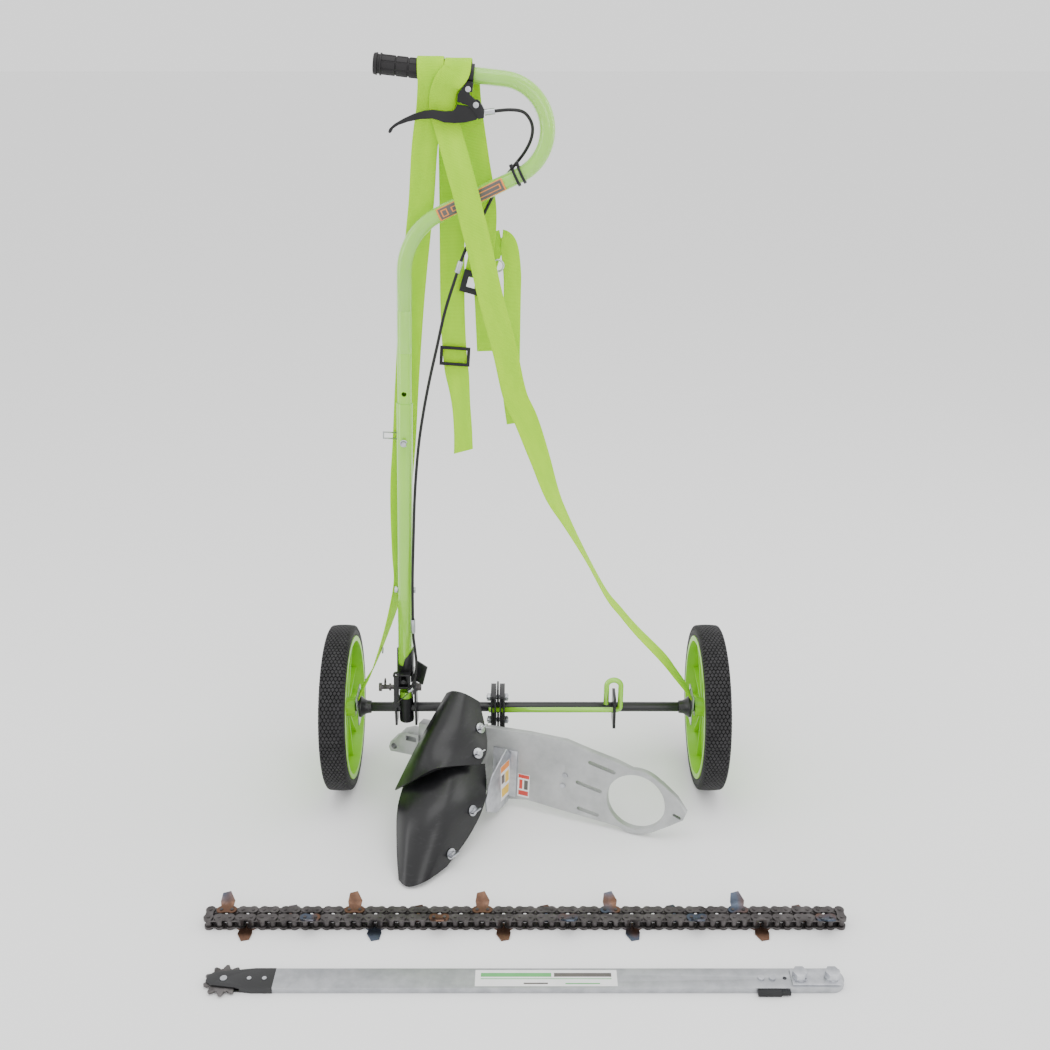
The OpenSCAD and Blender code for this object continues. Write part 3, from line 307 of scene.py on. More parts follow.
def flapRubber():
    finish = Finish("flapRubber", coat=0.16, coatRoughness=0.2, specular=0.4)
    spot = finish.place()
    cloud = finish.noise(spot, 22, 4, 0.6)
    scuff = finish.noise(finish.stretched(spot, (60, 25, 200)), 1, 5, 0.7)
    color = finish.mixed(finish.ramp(scuff, (0.55, 0), (0.8, 1)), (0.004, 0.004, 0.005), (0.016, 0.016, 0.018))
    rough = 0.26 + 0.2 * cloud
    return finish.paint(color=color, roughness=rough, normal=finish.bump(finish.noise(spot, 500, 3), 0.0001))


finishes["flap_rubber"] = flapRubber()


def clearVinyl():
    finish = Finish("clearVinyl", coat=0.4, coatRoughness=0.05, specular=0.5)
    spot = finish.place()
    haze = finish.noise(finish.stretched(spot, (30, 30, 9)), 1, 3)
    return finish.paint(color=(0.62, 0.88, 0.36, 1), roughness=0.06 + 0.1 * haze, alpha=0.05 + 0.07 * haze,
                        normal=finish.bump(haze, 0.0006))


finishes["clear_vinyl"] = clearVinyl()


# woven webbing: v runs along the strap and u across it, both in metres
def wovenWebbing():
    finish = Finish("wovenWebbing", sheen=0.04, sheenRoughness=0.5, specular=0.2)
    uv = finish.place("UV")
    across = uv.part(0)
    along = uv.part(1)
    warp = (across * (2 * math.pi / 0.0016)).sine()
    weft = ((along + 0.0004 * warp) * (2 * math.pi / 0.0021)).sine()
    ribs = warp.size() * 0.6 + (warp * weft) * 0.5
    selvedge = finish.ramp((across - 0.5 * bandWidth).size(), (0.0155, 0), (0.0168, 1))
    wear = finish.noise(finish.stretched(uv, (60, 14, 1)), 1, 4)
    # the weave is painted darker in its low grooves, following the same height as the bump: painted shade in the
    # weave
    color = finish.mixed(finish.ramp(ribs, (0.05, 0), (0.8, 1)), (0.30, 0.66, 0.0), (0.50, 0.93, 0.0))
    color = finish.mixed(finish.ramp(wear, (0.4, 0), (0.8, 0.45)), color, (0.56, 0.95, 0.01))
    color = finish.mixed(selvedge * 0.35, color, (0.40, 0.72, 0.0))
    return finish.paint(color=color, roughness=0.62 + 0.15 * wear, normal=finish.bump(ribs, 0.00035))


bandWidth = 0.038
finishes["webbing"] = wovenWebbing()


def tyreRubber():
    finish = Finish("tyreRubber", specular=0.3)
    spot = finish.place()
    dust = finish.noise(spot, 70, 5, 0.65)
    fine = finish.noise(spot, 1300, 3)
    color = finish.mixed(finish.ramp(dust, (0.4, 0), (0.72, 1)), (0.016, 0.0155, 0.0165), (0.032, 0.031, 0.033))
    return finish.paint(color=color, roughness=0.55 + 0.2 * dust, normal=finish.bump(fine, 0.0003))


finishes["tyre"] = tyreRubber()
# the tread groove floors get a rubber darker than the tyre: painted shade in the grooves between the tread blocks
finishes["grooveRubberPaintedShade"] = mouldedPlastic(
    "grooveRubberPaintedShade", (0.006, 0.006, 0.006), (0.011, 0.011, 0.011), 0.75, 700, 0.0002, 0, 0.25)
finishes["thread"] = mouldedPlastic(
    "stitchThread", (0.44, 0.75, 0.02), (0.36, 0.62, 0.01), 0.7, 4000, 0.0001, 0.3)


def labelFinish(name, tone, dark):
    finish = Finish(name, coat=0.3, coatRoughness=0.1)
    spot = finish.place()
    fade = finish.noise(spot, 40, 4)
    color = finish.mixed(finish.ramp(fade, (0.4, 0), (0.8, 1)), tone, dark)
    return finish.paint(color=color, roughness=0.3 + 0.2 * fade)


labelTones = {
    "white": labelFinish("labelWhite", (0.84, 0.84, 0.83), (0.76, 0.76, 0.75)),
    "orange": labelFinish("labelOrange", (0.80, 0.25, 0.03), (0.70, 0.20, 0.02)),
    "yellow": labelFinish("labelYellow", (0.85, 0.55, 0.05), (0.76, 0.47, 0.03)),
    "red": labelFinish("labelRed", (0.62, 0.05, 0.03), (0.53, 0.04, 0.03)),
    "grey": labelFinish("labelGrey", (0.10, 0.09, 0.08), (0.07, 0.065, 0.06)),
    "green": labelFinish("labelGreen", (0.10, 0.42, 0.12), (0.08, 0.35, 0.10)),
}
print("finishes ready:", len(finishes) + len(labelTones))


# mesh helpers
def newPiece(name, verts, faces, finish, uvs=None, smoothAngle=35):
    mesh = bpy.data.meshes.new(name)
    mesh.from_pydata([tuple(v) for v in verts], [], faces)
    if uvs is not None:
        layer = mesh.uv_layers.new(name="UVMap")
        for loop in mesh.loops:
            layer.data[loop.index].uv = uvs[loop.vertex_index]
    mesh.materials.append(finish)
    return shownPiece(name, mesh, smoothAngle)


def shownPiece(name, mesh, smoothAngle=35):
    for polygon in mesh.polygons:
        polygon.use_smooth = True
    mesh.set_sharp_from_angle(angle=math.radians(smoothAngle))
    piece = bpy.data.objects.new(name, mesh)
    bpy.context.scene.collection.objects.link(piece)
    return piece


def joined(name, meshes):
    both = bmesh.new()
    slots = []
    for mesh in meshes:
        first = len(both.faces)
        both.from_mesh(mesh)
        both.faces.ensure_lookup_table()
        index = []
        for material in mesh.materials:
            if material not in slots:
                slots.append(material)
            index.append(slots.index(material))
        for face in both.faces[first:]:
            face.material_index = index[face.material_index] if index else 0
    result = bpy.data.meshes.new(name)
    both.to_mesh(result)
    both.free()
    for material in slots:
        result.materials.append(material)
    return result


def finishPiece(piece, body, nodes):
    if body:
        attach(piece, body)
    if nodes:
        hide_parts(*nodes)
    return piece


# a copy of a CAD node with its doubles merged, edges rounded a little and smooth shading
def rounded(node, width=0.0004, segments=2, angle=38):
    source = frame["nodes"][node]
    body = source["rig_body"]
    slot = slotOf[node]
    shape = bmesh.new()
    shape.from_mesh(source.data)
    bmesh.ops.remove_doubles(shape, verts=shape.verts, dist=0.000004)
    bmesh.ops.dissolve_limit(shape, angle_limit=math.radians(0.6), verts=shape.verts, edges=shape.edges)
    if width > 0:
        sharp = [edge for edge in shape.edges if len(edge.link_faces) == 2
                 and edge.calc_face_angle(0) > math.radians(angle)]
        bmesh.ops.bevel(shape, geom=sharp, offset=width, segments=segments, profile=0.6, affect="EDGES",
                        clamp_overlap=True)
    bmesh.ops.triangulate(shape, faces=[face for face in shape.faces if len(face.verts) > 4])
    words = node.split("_")
    name = words[0] + "".join(word.capitalize() for word in words[1:])
    mesh = bpy.data.meshes.new(name)
    shape.to_mesh(mesh)
    shape.free()
    mesh.materials.append(finishes[slot])
    piece = shownPiece(name, mesh, 32)
    return finishPiece(piece, body, [node])


slotOf = {entry["node"]: entry["material_slot"] for entry in frame["record"]["subparts"]}


# geometry node trees
class Nest:
    def __init__(self, name, inputs):
        self.tree = bpy.data.node_groups.new(name, "GeometryNodeTree")
        self.tree.interface.new_socket(name="Geometry", in_out="INPUT", socket_type="NodeSocketGeometry")
        self.keys = {}
        for title, kind, value in inputs:
            socket = self.tree.interface.new_socket(name=title, in_out="INPUT", socket_type=kind)
            if value is not None:
                socket.default_value = value
            self.keys[title] = socket.identifier
        self.tree.interface.new_socket(name="Geometry", in_out="OUTPUT", socket_type="NodeSocketGeometry")
        self.start = self.tree.nodes.new("NodeGroupInput")

    def given(self, title):
        return self.start.outputs[title]

    def add(self, kind, settings=None, inputs=None, output=0):
        made = self.tree.nodes.new(kind)
        for key, value in (settings or {}).items():
            setattr(made, key, value)
        for key, value in (inputs or {}).items():
            if isinstance(value, bpy.types.NodeSocket):
                self.tree.links.new(value, made.inputs[key])
            else:
                made.inputs[key].default_value = value
        return made.outputs[output]

    def close(self, geometry, material):
        real = self.add("GeometryNodeRealizeInstances", {}, {0: geometry})
        coated = self.add("GeometryNodeSetMaterial", {}, {"Geometry": real, "Material": material})
        out = self.tree.nodes.new("NodeGroupOutput")
        self.tree.links.new(coated, out.inputs[0])

    def baked(self, name, source, values):
        modifier = source.modifiers.new("nest", "NODES")
        modifier.node_group = self.tree
        for title, value in values.items():
            modifier[self.keys[title]] = value
        bpy.context.view_layer.update()
        evaluated = source.evaluated_get(bpy.context.evaluated_depsgraph_get())
        mesh = bpy.data.meshes.new_from_object(evaluated)
        mesh.name = name
        bpy.data.objects.remove(source)
        return mesh


# repeats the piece around the X axis through the origin
aroundAxle = Nest("aroundAxle", [("Count", "NodeSocketInt", 12), ("First turn", "NodeSocketFloat", 0.0),
                                 ("Material", "NodeSocketMaterial", None)])
step = aroundAxle.add("ShaderNodeMath", {"operation": "DIVIDE"}, {0: 2 * math.pi, 1: aroundAxle.given("Count")})
turnBy = aroundAxle.add("ShaderNodeMath", {"operation": "MULTIPLY_ADD"}, {
    0: aroundAxle.add("GeometryNodeInputIndex"), 1: step, 2: aroundAxle.given("First turn")})
aroundAxle.close(aroundAxle.add("GeometryNodeInstanceOnPoints", {}, {
    "Points": aroundAxle.add("GeometryNodePoints", {}, {"Count": aroundAxle.given("Count")}),
    "Instance": aroundAxle.given("Geometry"),
    "Rotation": aroundAxle.add("ShaderNodeCombineXYZ", {}, {0: turnBy})}), aroundAxle.given("Material"))

# lays small threads along every edge chain of the piece
sewnLine = Nest("sewnLine", [("Spacing", "NodeSocketFloat", 0.004), ("Length", "NodeSocketFloat", 0.0028),
                             ("Thickness", "NodeSocketFloat", 0.0007),
                             ("Material", "NodeSocketMaterial", None)])
seam = sewnLine.add("GeometryNodeResampleCurve", {"mode": "LENGTH"}, {
    "Curve": sewnLine.add("GeometryNodeMeshToCurve", {}, {"Mesh": sewnLine.given("Geometry")}),
    "Length": sewnLine.given("Spacing")})
thread = sewnLine.add("GeometryNodeMeshIcoSphere", {}, {"Radius": 0.5, "Subdivisions": 1})
threadSize = sewnLine.add("ShaderNodeCombineXYZ", {}, {
    0: sewnLine.given("Thickness"), 1: sewnLine.given("Thickness"), 2: sewnLine.given("Length")})
sewnLine.close(sewnLine.add("GeometryNodeInstanceOnPoints", {}, {
    "Points": seam, "Instance": thread, "Scale": threadSize,
    "Rotation": sewnLine.add("FunctionNodeAlignRotationToVector", {"axis": "Z"}, {
        "Vector": sewnLine.add("GeometryNodeInputTangent")})}), sewnLine.given("Material"))


def looseObject(name, verts, edges=(), faces=()):
    mesh = bpy.data.meshes.new(name)
    mesh.from_pydata([tuple(v) for v in verts], list(edges), list(faces))
    holder = bpy.data.objects.new(name, mesh)
    bpy.context.scene.collection.objects.link(holder)
    return holder


# tyres
tyreShape = {
    "outer": 0.146, "width": 0.045, "inner": 0.122, "tread": 0.003, "rows": 72, "across": 6,
    "blockLong": 0.0098, "blockWide": 0.0074, "crown": 0.0022,
}


def crownRadius(offset):
    half = tyreShape["width"] / 2
    share = abs(offset) / half
    return tyreShape["outer"] - 0.0002 - tyreShape["crown"] * share ** 2.2


def treadRow():
    verts, faces = [], []
    columns = tyreShape["across"]
    reach = tyreShape["width"] - 0.0065
    for lane in range(2):
        count = columns - lane
        for k in range(count):
            middle = (k - (count - 1) / 2) * reach / columns
            turn = (lane * 0.5 - 0.25) * 2 * math.pi / tyreShape["rows"]
            corners = [(-0.5, 0), (0, -0.5), (0.5, 0), (0, 0.5)]
            cut = 0.16
            outline = []
            for i, (a, b) in enumerate(corners):
                for j in (-1, 1):
                    other = corners[(i + j) % 4]
                    outline.append((a + (other[0] - a) * cut, b + (other[1] - b) * cut))
            first = len(verts)
            for level in (0, 1, 2):
                grow = (1.0, 0.9, 0.8)[level]
                lift = (-tyreShape["tread"], -0.0004, 0)[level]
                for a, b in outline:
                    x = middle + a * grow * tyreShape["blockWide"]
                    phi = turn + b * grow * tyreShape["blockLong"] / tyreShape["outer"]
                    radius = crownRadius(x) + lift
                    verts.append((x, radius * math.sin(phi), radius * math.cos(phi)))
            n = len(outline)
            for level in (0, 1):
                for i in range(n):
                    a = first + level * n + i
                    b = first + level * n + (i + 1) % n
                    faces.append((a, b, b + n, a + n))
            faces.append([first + 2 * n + i for i in range(n)])
    # shoulder blocks, one each side for every row
    for side in (-1, 1):
        for lane in range(2):
            turn = (lane * 0.5 - 0.25) * 2 * math.pi / tyreShape["rows"]
            wide = 2 * math.pi / tyreShape["rows"] * 0.5 * 0.72
            profile = [(0.0172, -0.0009 - lane * 0.0002), (0.0196, -0.0022), (0.0213, -0.0052),
                       (0.0218, -0.0090)]
            first = len(verts)
            for x, drop in profile:
                for lift in (-0.0022, 0):
                    for edge in (-0.5, 0.5):
                        phi = turn + edge * wide * (1 if lift else 0.82)
                        radius = tyreShape["outer"] - 0.0002 + drop + lift * (1 if x < 0.02 else 0.4)
                        xx = x + (lift * 0.35 if x > 0.019 else 0)
                        verts.append((side * xx, radius * math.sin(phi), radius * math.cos(phi)))
            for i in range(3):
                a = first + i * 4
                b = a + 4
                faces += [(a + 2, a + 3, b + 3, b + 2), (a, a + 2, b + 2, b), (a + 3, a + 1, b + 1, b + 3)]
            e = first + 12
            faces += [(first, first + 1, first + 3, first + 2), (e, e + 2, e + 3, e + 1)]
    return verts, faces


def revolved(profile, sides, closed=True):
    verts, faces = [], []
    count = len(profile)
    for k in range(sides):
        phi = 2 * math.pi * k / sides
        for x, radius in profile:
            verts.append((x, radius * math.sin(phi), radius * math.cos(phi)))
    for k in range(sides):
        for i in range(count if closed else count - 1):
            a, b = k * count + i, k * count + (i + 1) % count
            c, d = ((k + 1) % sides) * count + i, ((k + 1) % sides) * count + (i + 1) % count
            faces.append((a, c, d, b))
    return verts, faces


def outward(mesh):
    shape = bmesh.new()
    shape.from_mesh(mesh)
    bmesh.ops.remove_doubles(shape, verts=shape.verts, dist=0.000002)
    bmesh.ops.recalc_face_normals(shape, faces=shape.faces)
    shape.to_mesh(mesh)
    shape.free()
    return mesh


def makeTyre(node, body):
    low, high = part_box(node)
    middle = (low + high) / 2
    floorR = tyreShape["outer"] - tyreShape["tread"]
    half = tyreShape["width"] / 2
    casing = [(-half + 0.0052, tyreShape["inner"] + 0.0003), (-half + 0.0042, tyreShape["inner"] + 0.0041),
              (-half + 0.002, tyreShape["inner"] + 0.0045), (-half + 0.0004, tyreShape["inner"] + 0.0078),
              (-half + 0.0002, tyreShape["inner"] + 0.011), (-half + 0.001, floorR - 0.0085),
              (-half + 0.0024, floorR - 0.0042), (-half + 0.0048, floorR - 0.0016),
              (-half + 0.009, floorR - 0.0006), (-half + 0.015, floorR - 0.0001), (0, floorR)]
    profile = casing + [(-x, r) for x, r in reversed(casing[:-1])]
    verts, faces = revolved(profile, 144)
    shell = bpy.data.meshes.new(node + "Casing")
    shell.from_pydata(verts, [], faces)
    shell.materials.append(finishes["tyre"])
    shell.materials.append(finishes["grooveRubberPaintedShade"])
    outward(shell)
    # crown faces of the casing, seen between the tread blocks, take the darker painted-shade rubber
    for polygon in shell.polygons:
        centre = polygon.center
        if math.hypot(centre.y, centre.z) > floorR - 0.0012:
            polygon.material_index = 1
    verts, faces = treadRow()
    row = looseObject(node + "Row", verts, (), faces)
    blocks = aroundAxle.baked(node + "Blocks", row, {"Count": tyreShape["rows"], "First turn": 0.0,
                                                    "Material": finishes["tyre"]})
    shape = bmesh.new()
    shape.from_mesh(blocks)
    for face in shape.faces:
        centre = face.calc_center_median()
        if face.normal.dot(Vector((centre.x * 6, centre.y, centre.z))) < 0:
            face.normal_flip()
    shape.to_mesh(blocks)
    shape.free()
    whole = joined(node, [shell, blocks])
    whole.transform(Matrix.Translation(middle))
    piece = shownPiece("tyreLeft" if node.endswith("left") else "tyreRight", whole, 40)
    return finishPiece(piece, body, [node])


for side in ("left", "right"):
    makeTyre("tyre_" + side, side + "_wheel")
print("tyres made")

# mast, handle and grip
handle = {
    "lean": 2.17, "gripEnd": (-0.0395, 1.029), "loopCorner": (0.390, 0.9975), "elbow": (0, 0.7955),
    "loopBend": 0.070, "elbowBend": 0.100, "outer": 0.0111, "wall": 0.0015, "stemTop": 0.6755,
    "sleeveStart": 0.142, "sleeveEnd": 0.6095, "sleeveWall": 0.0013,
}
mastFrame = Matrix.Translation((-0.211, axleY, 0.187)) @ Matrix.Rotation(math.radians(handle["lean"]), 4, "Y")
gripWay = Vector(handle["loopCorner"]) - Vector(handle["gripEnd"])
gripFrame = (mastFrame @ Matrix.Translation((handle["gripEnd"][0], 0, handle["gripEnd"][1]))
             @ Matrix.Rotation(-math.atan2(gripWay.y, gripWay.x), 4, "Y"))


def bentPath(points, bends, stepAngle=3):
    points = [Vector(p) for p in points]
    stations = [(points[0], (points[1] - points[0]).normalized())]
    for i in range(1, len(points) - 1):
        before = (points[i] - points[i - 1]).normalized()
        after = (points[i + 1] - points[i]).normalized()
        swing = math.atan2(before.x * after.y - before.y * after.x, before.dot(after))
        reach = bends[i] * math.tan(abs(swing) / 2)
        start = points[i] - before * reach
        centre = start + Vector((-before.y, before.x)) * bends[i] * (1 if swing > 0 else -1)
        count = math.ceil(abs(math.degrees(swing)) / stepAngle)
        for k in range(count + 1):
            spin = Matrix.Rotation(swing * k / count, 2)
            stations.append((centre + spin @ (start - centre), spin @ before))
    stations.append((points[-1], (points[-1] - points[-2]).normalized()))
    return stations


def tubeAlong(name, stations, outer, inner, finish, place, sides=40, lip=0.0003):
    rings = []
    def ring(at, way, radius, slide=0.0):
        at = at + way * slide
        cross = Vector((way.x, 0, way.y)).cross(Vector((0, 1, 0)))
        return [place @ (Vector((at.x, 0, at.y)) + radius * (math.cos(2 * math.pi * j / sides) * Vector((0, 1, 0))
                + math.sin(2 * math.pi * j / sides) * cross)) for j in range(sides)]
    first, last = stations[0], stations[-1]
    rings.append(ring(*first, outer - lip))
    rings.append(ring(*first, outer, lip))
    for at, way in stations[1:-1]:
        rings.append(ring(at, way, outer))
    rings.append(ring(*last, outer, -lip))
    rings.append(ring(*last, outer - lip))
    rings.append(ring(*last, inner))
    for at, way in reversed(stations[1:-1]):
        rings.append(ring(at, way, inner))
    rings.append(ring(*first, inner))
    verts = [v for r in rings for v in r]
    faces = []
    total = len(rings)
    for i in range(total):
        for j in range(sides):
            a, b = i * sides + j, i * sides + (j + 1) % sides
            c, d = ((i + 1) % total) * sides + j, ((i + 1) % total) * sides + (j + 1) % sides
            faces.append((a, c, d, b))
    piece = newPiece(name, verts, faces, finish, None, 50)
    outward(piece.data)
    return piece


gripUnit = gripWay.normalized()
tubePath = bentPath([Vector(handle["gripEnd"]) + 0.002 * gripUnit, handle["loopCorner"], handle["elbow"],
                     (0, handle["stemTop"] + 0.00002)], [0, handle["loopBend"], handle["elbowBend"], 0])
finishPiece(tubeAlong("handleBar", tubePath, handle["outer"], handle["outer"] - handle["wall"],
                      finishes["green_paint"], mastFrame), "mast", ["handle_bar"])
sleevePath = bentPath([Vector(handle["gripEnd"]) + handle["sleeveStart"] * gripUnit, handle["loopCorner"],
                       handle["elbow"], (0, handle["sleeveEnd"])],
                      [0, handle["loopBend"], handle["elbowBend"], 0])
finishPiece(tubeAlong("handleSleeve", sleevePath, handle["outer"] + 0.0002 + handle["sleeveWall"],
                      handle["outer"] + 0.00015, finishes["clear_vinyl"], mastFrame), "mast",
            ["handle_sleeve"])

# the grip: blocks of raised ribs between plain collars, and a double flange at the free end
gripShape = {"length": 0.112, "radius": 0.0139, "flange": 0.0156,
             "grooves": (0.029, 0.047, 0.065, 0.083, 0.101),
             "ribsAround": 8, "ribDepth": 0.0009}


def gripRadius(x, phi):
    if x < 0.003:
        return gripShape["flange"] - (0.003 - x) * 0.25
    if x < 0.0065:
        return gripShape["radius"] - 0.0006
    if x < 0.0088:
        return gripShape["flange"] - 0.0003
    if x > gripShape["length"] - 0.0022:
        return gripShape["radius"]
    if any(abs(x - groove) < 0.0010 for groove in gripShape["grooves"]):
        return gripShape["radius"] - 0.0013
    wave = math.cos(gripShape["ribsAround"] * phi)
    return gripShape["radius"] - (gripShape["ribDepth"] if wave < -0.82 else 0)


def makeGrip():
    around, along = 112, 190
    verts, faces = [], []
    for i in range(along + 1):
        x = -0.003 + (gripShape["length"] + 0.003) * i / along
        for k in range(around):
            phi = 2 * math.pi * k / around
            r = gripRadius(x, phi)
            if i == 0:
                r -= 0.0012
            verts.append(gripFrame @ Vector((x, r * math.cos(phi), r * math.sin(phi))))
    for i in range(along):
        for k in range(around):
            a, b = i * around + k, i * around + (k + 1) % around
            faces.append((a, b, b + around, a + around))
    hub = len(verts)
    verts.append(gripFrame @ Vector((-0.003, 0, 0)))
    for k in range(around):
        faces.append((hub, (k + 1) % around, k))
    base = along * around
    inner = len(verts)
    for k in range(around):
        phi = 2 * math.pi * k / around
        verts.append(gripFrame @ Vector((gripShape["length"], 0.01115 * math.cos(phi), 0.01115 * math.sin(phi))))
    for k in range(around):
        faces.append((base + k, base + (k + 1) % around, inner + (k + 1) % around, inner + k))
    piece = newPiece("grip", verts, faces, finishes["grip_rubber"], None, 40)
    outward(piece.data)
    return finishPiece(piece, "mast", ["grip"])


makeGrip()
print("handle made")


# webbing
def smoothAt(points, u):
    last = len(points) - 1
    i = min(int(math.floor(u)), last - 1)
    t = u - i
    a, b, c, d = points[max(i - 1, 0)], points[i], points[i + 1], points[min(i + 2, last)]
    return [0.5 * (2 * q + (r - p) * t + (2 * p - 5 * q + 4 * r - s) * t * t + (3 * q - p - 3 * r + s) * t ** 3)
            for p, q, r, s in zip(a, b, c, d)]


straps = {
    "left": [(-133, 17, 1150, 0), (-133, 16, 1190, 0), (-133, 15.6, 1208, 0), (-133, 11.5, 1221, 0),
             (-133, 0, 1226, 0), (-133, -11.5, 1221, 0), (-133, -15.6, 1208, 0), (-133, -13, 1192, 0),
             (-135, -4, 1174, 0), (-138, 2, 1152, 0), (-147, 9, 1099, 0), (-155, 22, 1025, 0),
             (-162, 25, 974, 0), (-175, 25, 873, 0), (-188, 25, 744, 0), (-197, 25, 639, 8),
             (-205, 25, 560, 20), (-211, 23, 446, 45), (-214, 22, 393, 60), (-226, 18, 340, 68),
             (-243, 12, 286, 76), (-266, 4, 224, 82), (-284, 0, 190, 88), (-293, 0, 171, 90)],
    "right": [(-94, 19, 1150, 0), (-94, 18.3, 1185, 0), (-94, 18.1, 1204.3, 0), (-93.6, 12.9, 1218.3, 0),
              (-93.6, 0, 1223.6, 0), (-94.4, -12.9, 1218.3, 0), (-97, -18.2, 1206.2, 0), (-109, -18.2, 1193, 0),
              (-116, -11, 1178, 0), (-118, -6, 1163, 0), (-117, -5.5, 1150, 0), (-111, -6.5, 1128, 0),
              (-98, -24, 1085, 0), (-86, -28, 1040, 0), (-66, -28, 955, 0), (-52, -28, 890, 0),
              (-31, -28, 806, 0), (-16, -26, 735, 5), (2, -24, 692, 15), (24, -20, 627, 35), (44, -16, 564, 55),
              (66, -12, 517, 74), (102, -8, 446, 88), (138, -6, 375, 90), (163, -6, 341, 88),
              (192, -6, 304, 84), (240, -5, 250, 80), (264, -3, 216, 84), (284, 0, 186, 88), (293, 0, 171, 90)],
    "back": [(-84, 21.5, 1200, 0), (-82, 23, 1160, 0), (-72, 26, 1083, 0), (-62, 30, 1010, 0),
             (-66, 31, 950, 0), (-76, 28, 905, 0)],
    "centre": [(-108, 27, 1136, 0), (-110, 32, 1024, 0), (-113, 32, 871, 0), (-112, 31, 800, 0),
               (-110, 31, 766, 2), (-106, 30.5, 735, 30), (-103, 30, 700, 44), (-101, 30, 655, 42),
               (-101, 30, 620, 38)],
    "loop": [(-62, 31, 789, 0), (-64, 29.2, 860, 0), (-64, 31, 892, 0), (-54, 37.5, 932, 0),
             (-40, 38.5, 962, 0), (-26, 38, 955, 0), (-20, 37, 915, 10), (-20, 36, 870, 15), (-22, 36, 773, 10),
             (-22, 36, 720, 5), (-16, 38, 666, 6)],
    "thickness": 0.0018, "width": 0.038, "loopWidth": 0.028, "ripple": 0.0007,
}


def strapFrames(run, steps):
    spots = [smoothAt(run, k * (len(run) - 1) / steps) for k in range(steps + 1)]
    frames = []
    for k, q in enumerate(spots):
        here = Vector(q[:3]) / 1000 + Vector((0, axleY, 0))
        way = (Vector(spots[min(k + 1, steps)][:3]) - Vector(spots[max(k - 1, 0)][:3])).normalized()
        want = Vector((math.cos(math.radians(q[3])), math.sin(math.radians(q[3])), 0))
        across = (want - way * want.dot(way)).normalized()
        frames.append((here, way, across, way.cross(across)))
    return frames


def makeStrap(name, node, run, steps, width, body="mast", towards=None):
    half, thick = width / 2, straps["thickness"] / 2
    columns = 8
    outline = ([(-1.0, 0.0), (-0.985, 0.72)] + [(-0.955 + 1.91 * i / columns, 1.0) for i in range(columns + 1)]
               + [(0.985, 0.72), (1.0, 0.0), (0.985, -0.72)]
               + [(0.955 - 1.91 * i / columns, -1.0) for i in range(columns + 1)] + [(-0.985, -0.72)])
    frames = strapFrames(run, steps)
    verts, uvs, faces = [], [], []
    runLength = 0.0
    ripple = straps["ripple"]
    for k, (here, way, across, out) in enumerate(frames):
        if k:
            runLength += (here - frames[k - 1][0]).length
        for a, b in outline:
            curl = ripple * a * a * math.sin(runLength * 31 + 1.3 * a) * min(1, k / 4, (steps - k) / 4)
            verts.append(here + across * (a * half) + out * (b * thick * 0.9 + curl * 0.5))
            uvs.append((a * half + bandWidth / 2, runLength))
    n = len(outline)
    for k in range(steps):
        for i in range(n):
            a, b = k * n + i, k * n + (i + 1) % n
            faces.append((a, b, b + n, a + n))
    faces.append(list(range(n))[::-1])
    faces.append([steps * n + i for i in range(n)])
    piece = newPiece(name, verts, faces, finishes["webbing"], uvs, 60)
    shape = bmesh.new()
    shape.from_mesh(piece.data)
    bmesh.ops.recalc_face_normals(shape, faces=shape.faces)
    shape.to_mesh(piece.data)
    shape.free()
    if towards:
        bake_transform(piece)
        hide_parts(node)
    else:
        finishPiece(piece, body, [node])
    print(name, "flat length", round(runLength, 3))
    return frames


makeStrap("strapLeft", "strap_left", straps["left"], 150, straps["width"],
          towards=((-0.23, axleY, 0.42), (-0.293, axleY, 0.172)))
makeStrap("strapRight", "strap_right", straps["right"], 190, straps["width"],
          towards=((0.09, axleY, 0.48), (0.293, axleY, 0.172)))
backFrames = makeStrap("strapBack", "strap_back", straps["back"], 60, straps["width"])
centreFrames = makeStrap("strapCentre", "strap_centre", straps["centre"], 70, straps["width"])
loopFrames = makeStrap("strapLoop", "strap_loop", straps["loop"], 90, straps["loopWidth"])


# box and cross stitching where two layers are sewn together
def boxStitch(frames, share, height, width, side):
    k = int(share * (len(frames) - 1))
    here, way, across, out = frames[k]
    lift = out * side * (straps["thickness"] * 0.45 + 0.0001)
    def at(a, b):
        return here + across * a * width / 2 + way * b * height / 2 + lift
    corners = [at(-1, -1), at(1, -1), at(1, 1), at(-1, 1)]
    ends = [(0, 1), (1, 2), (2, 3), (3, 0), (0, 2), (1, 3)]
    return [(corners[a], corners[b]) for a, b in ends]


seams = []
for frames, share, height, width in ((backFrames, 0.30, 0.024, 0.030), (backFrames, 0.92, 0.020, 0.030),
                                     (centreFrames, 0.05, 0.022, 0.030), (loopFrames, 0.12, 0.018, 0.021)):
    for side in (-1, 1):
        seams += boxStitch(frames, share, height, width, side)
stitchMeshes = []
for number, (a, b) in enumerate(seams):
    line = looseObject("seam%d" % number, [a, b], [(0, 1)])
    stitchMeshes.append(sewnLine.baked("seam%d" % number, line, {
        "Spacing": 0.0034, "Length": 0.0026, "Thickness": 0.0008, "Material": finishes["thread"]}))
stitching = shownPiece("strapStitching", joined("strapStitching", stitchMeshes))
finishPiece(stitching, "mast", [])
print("webbing made")

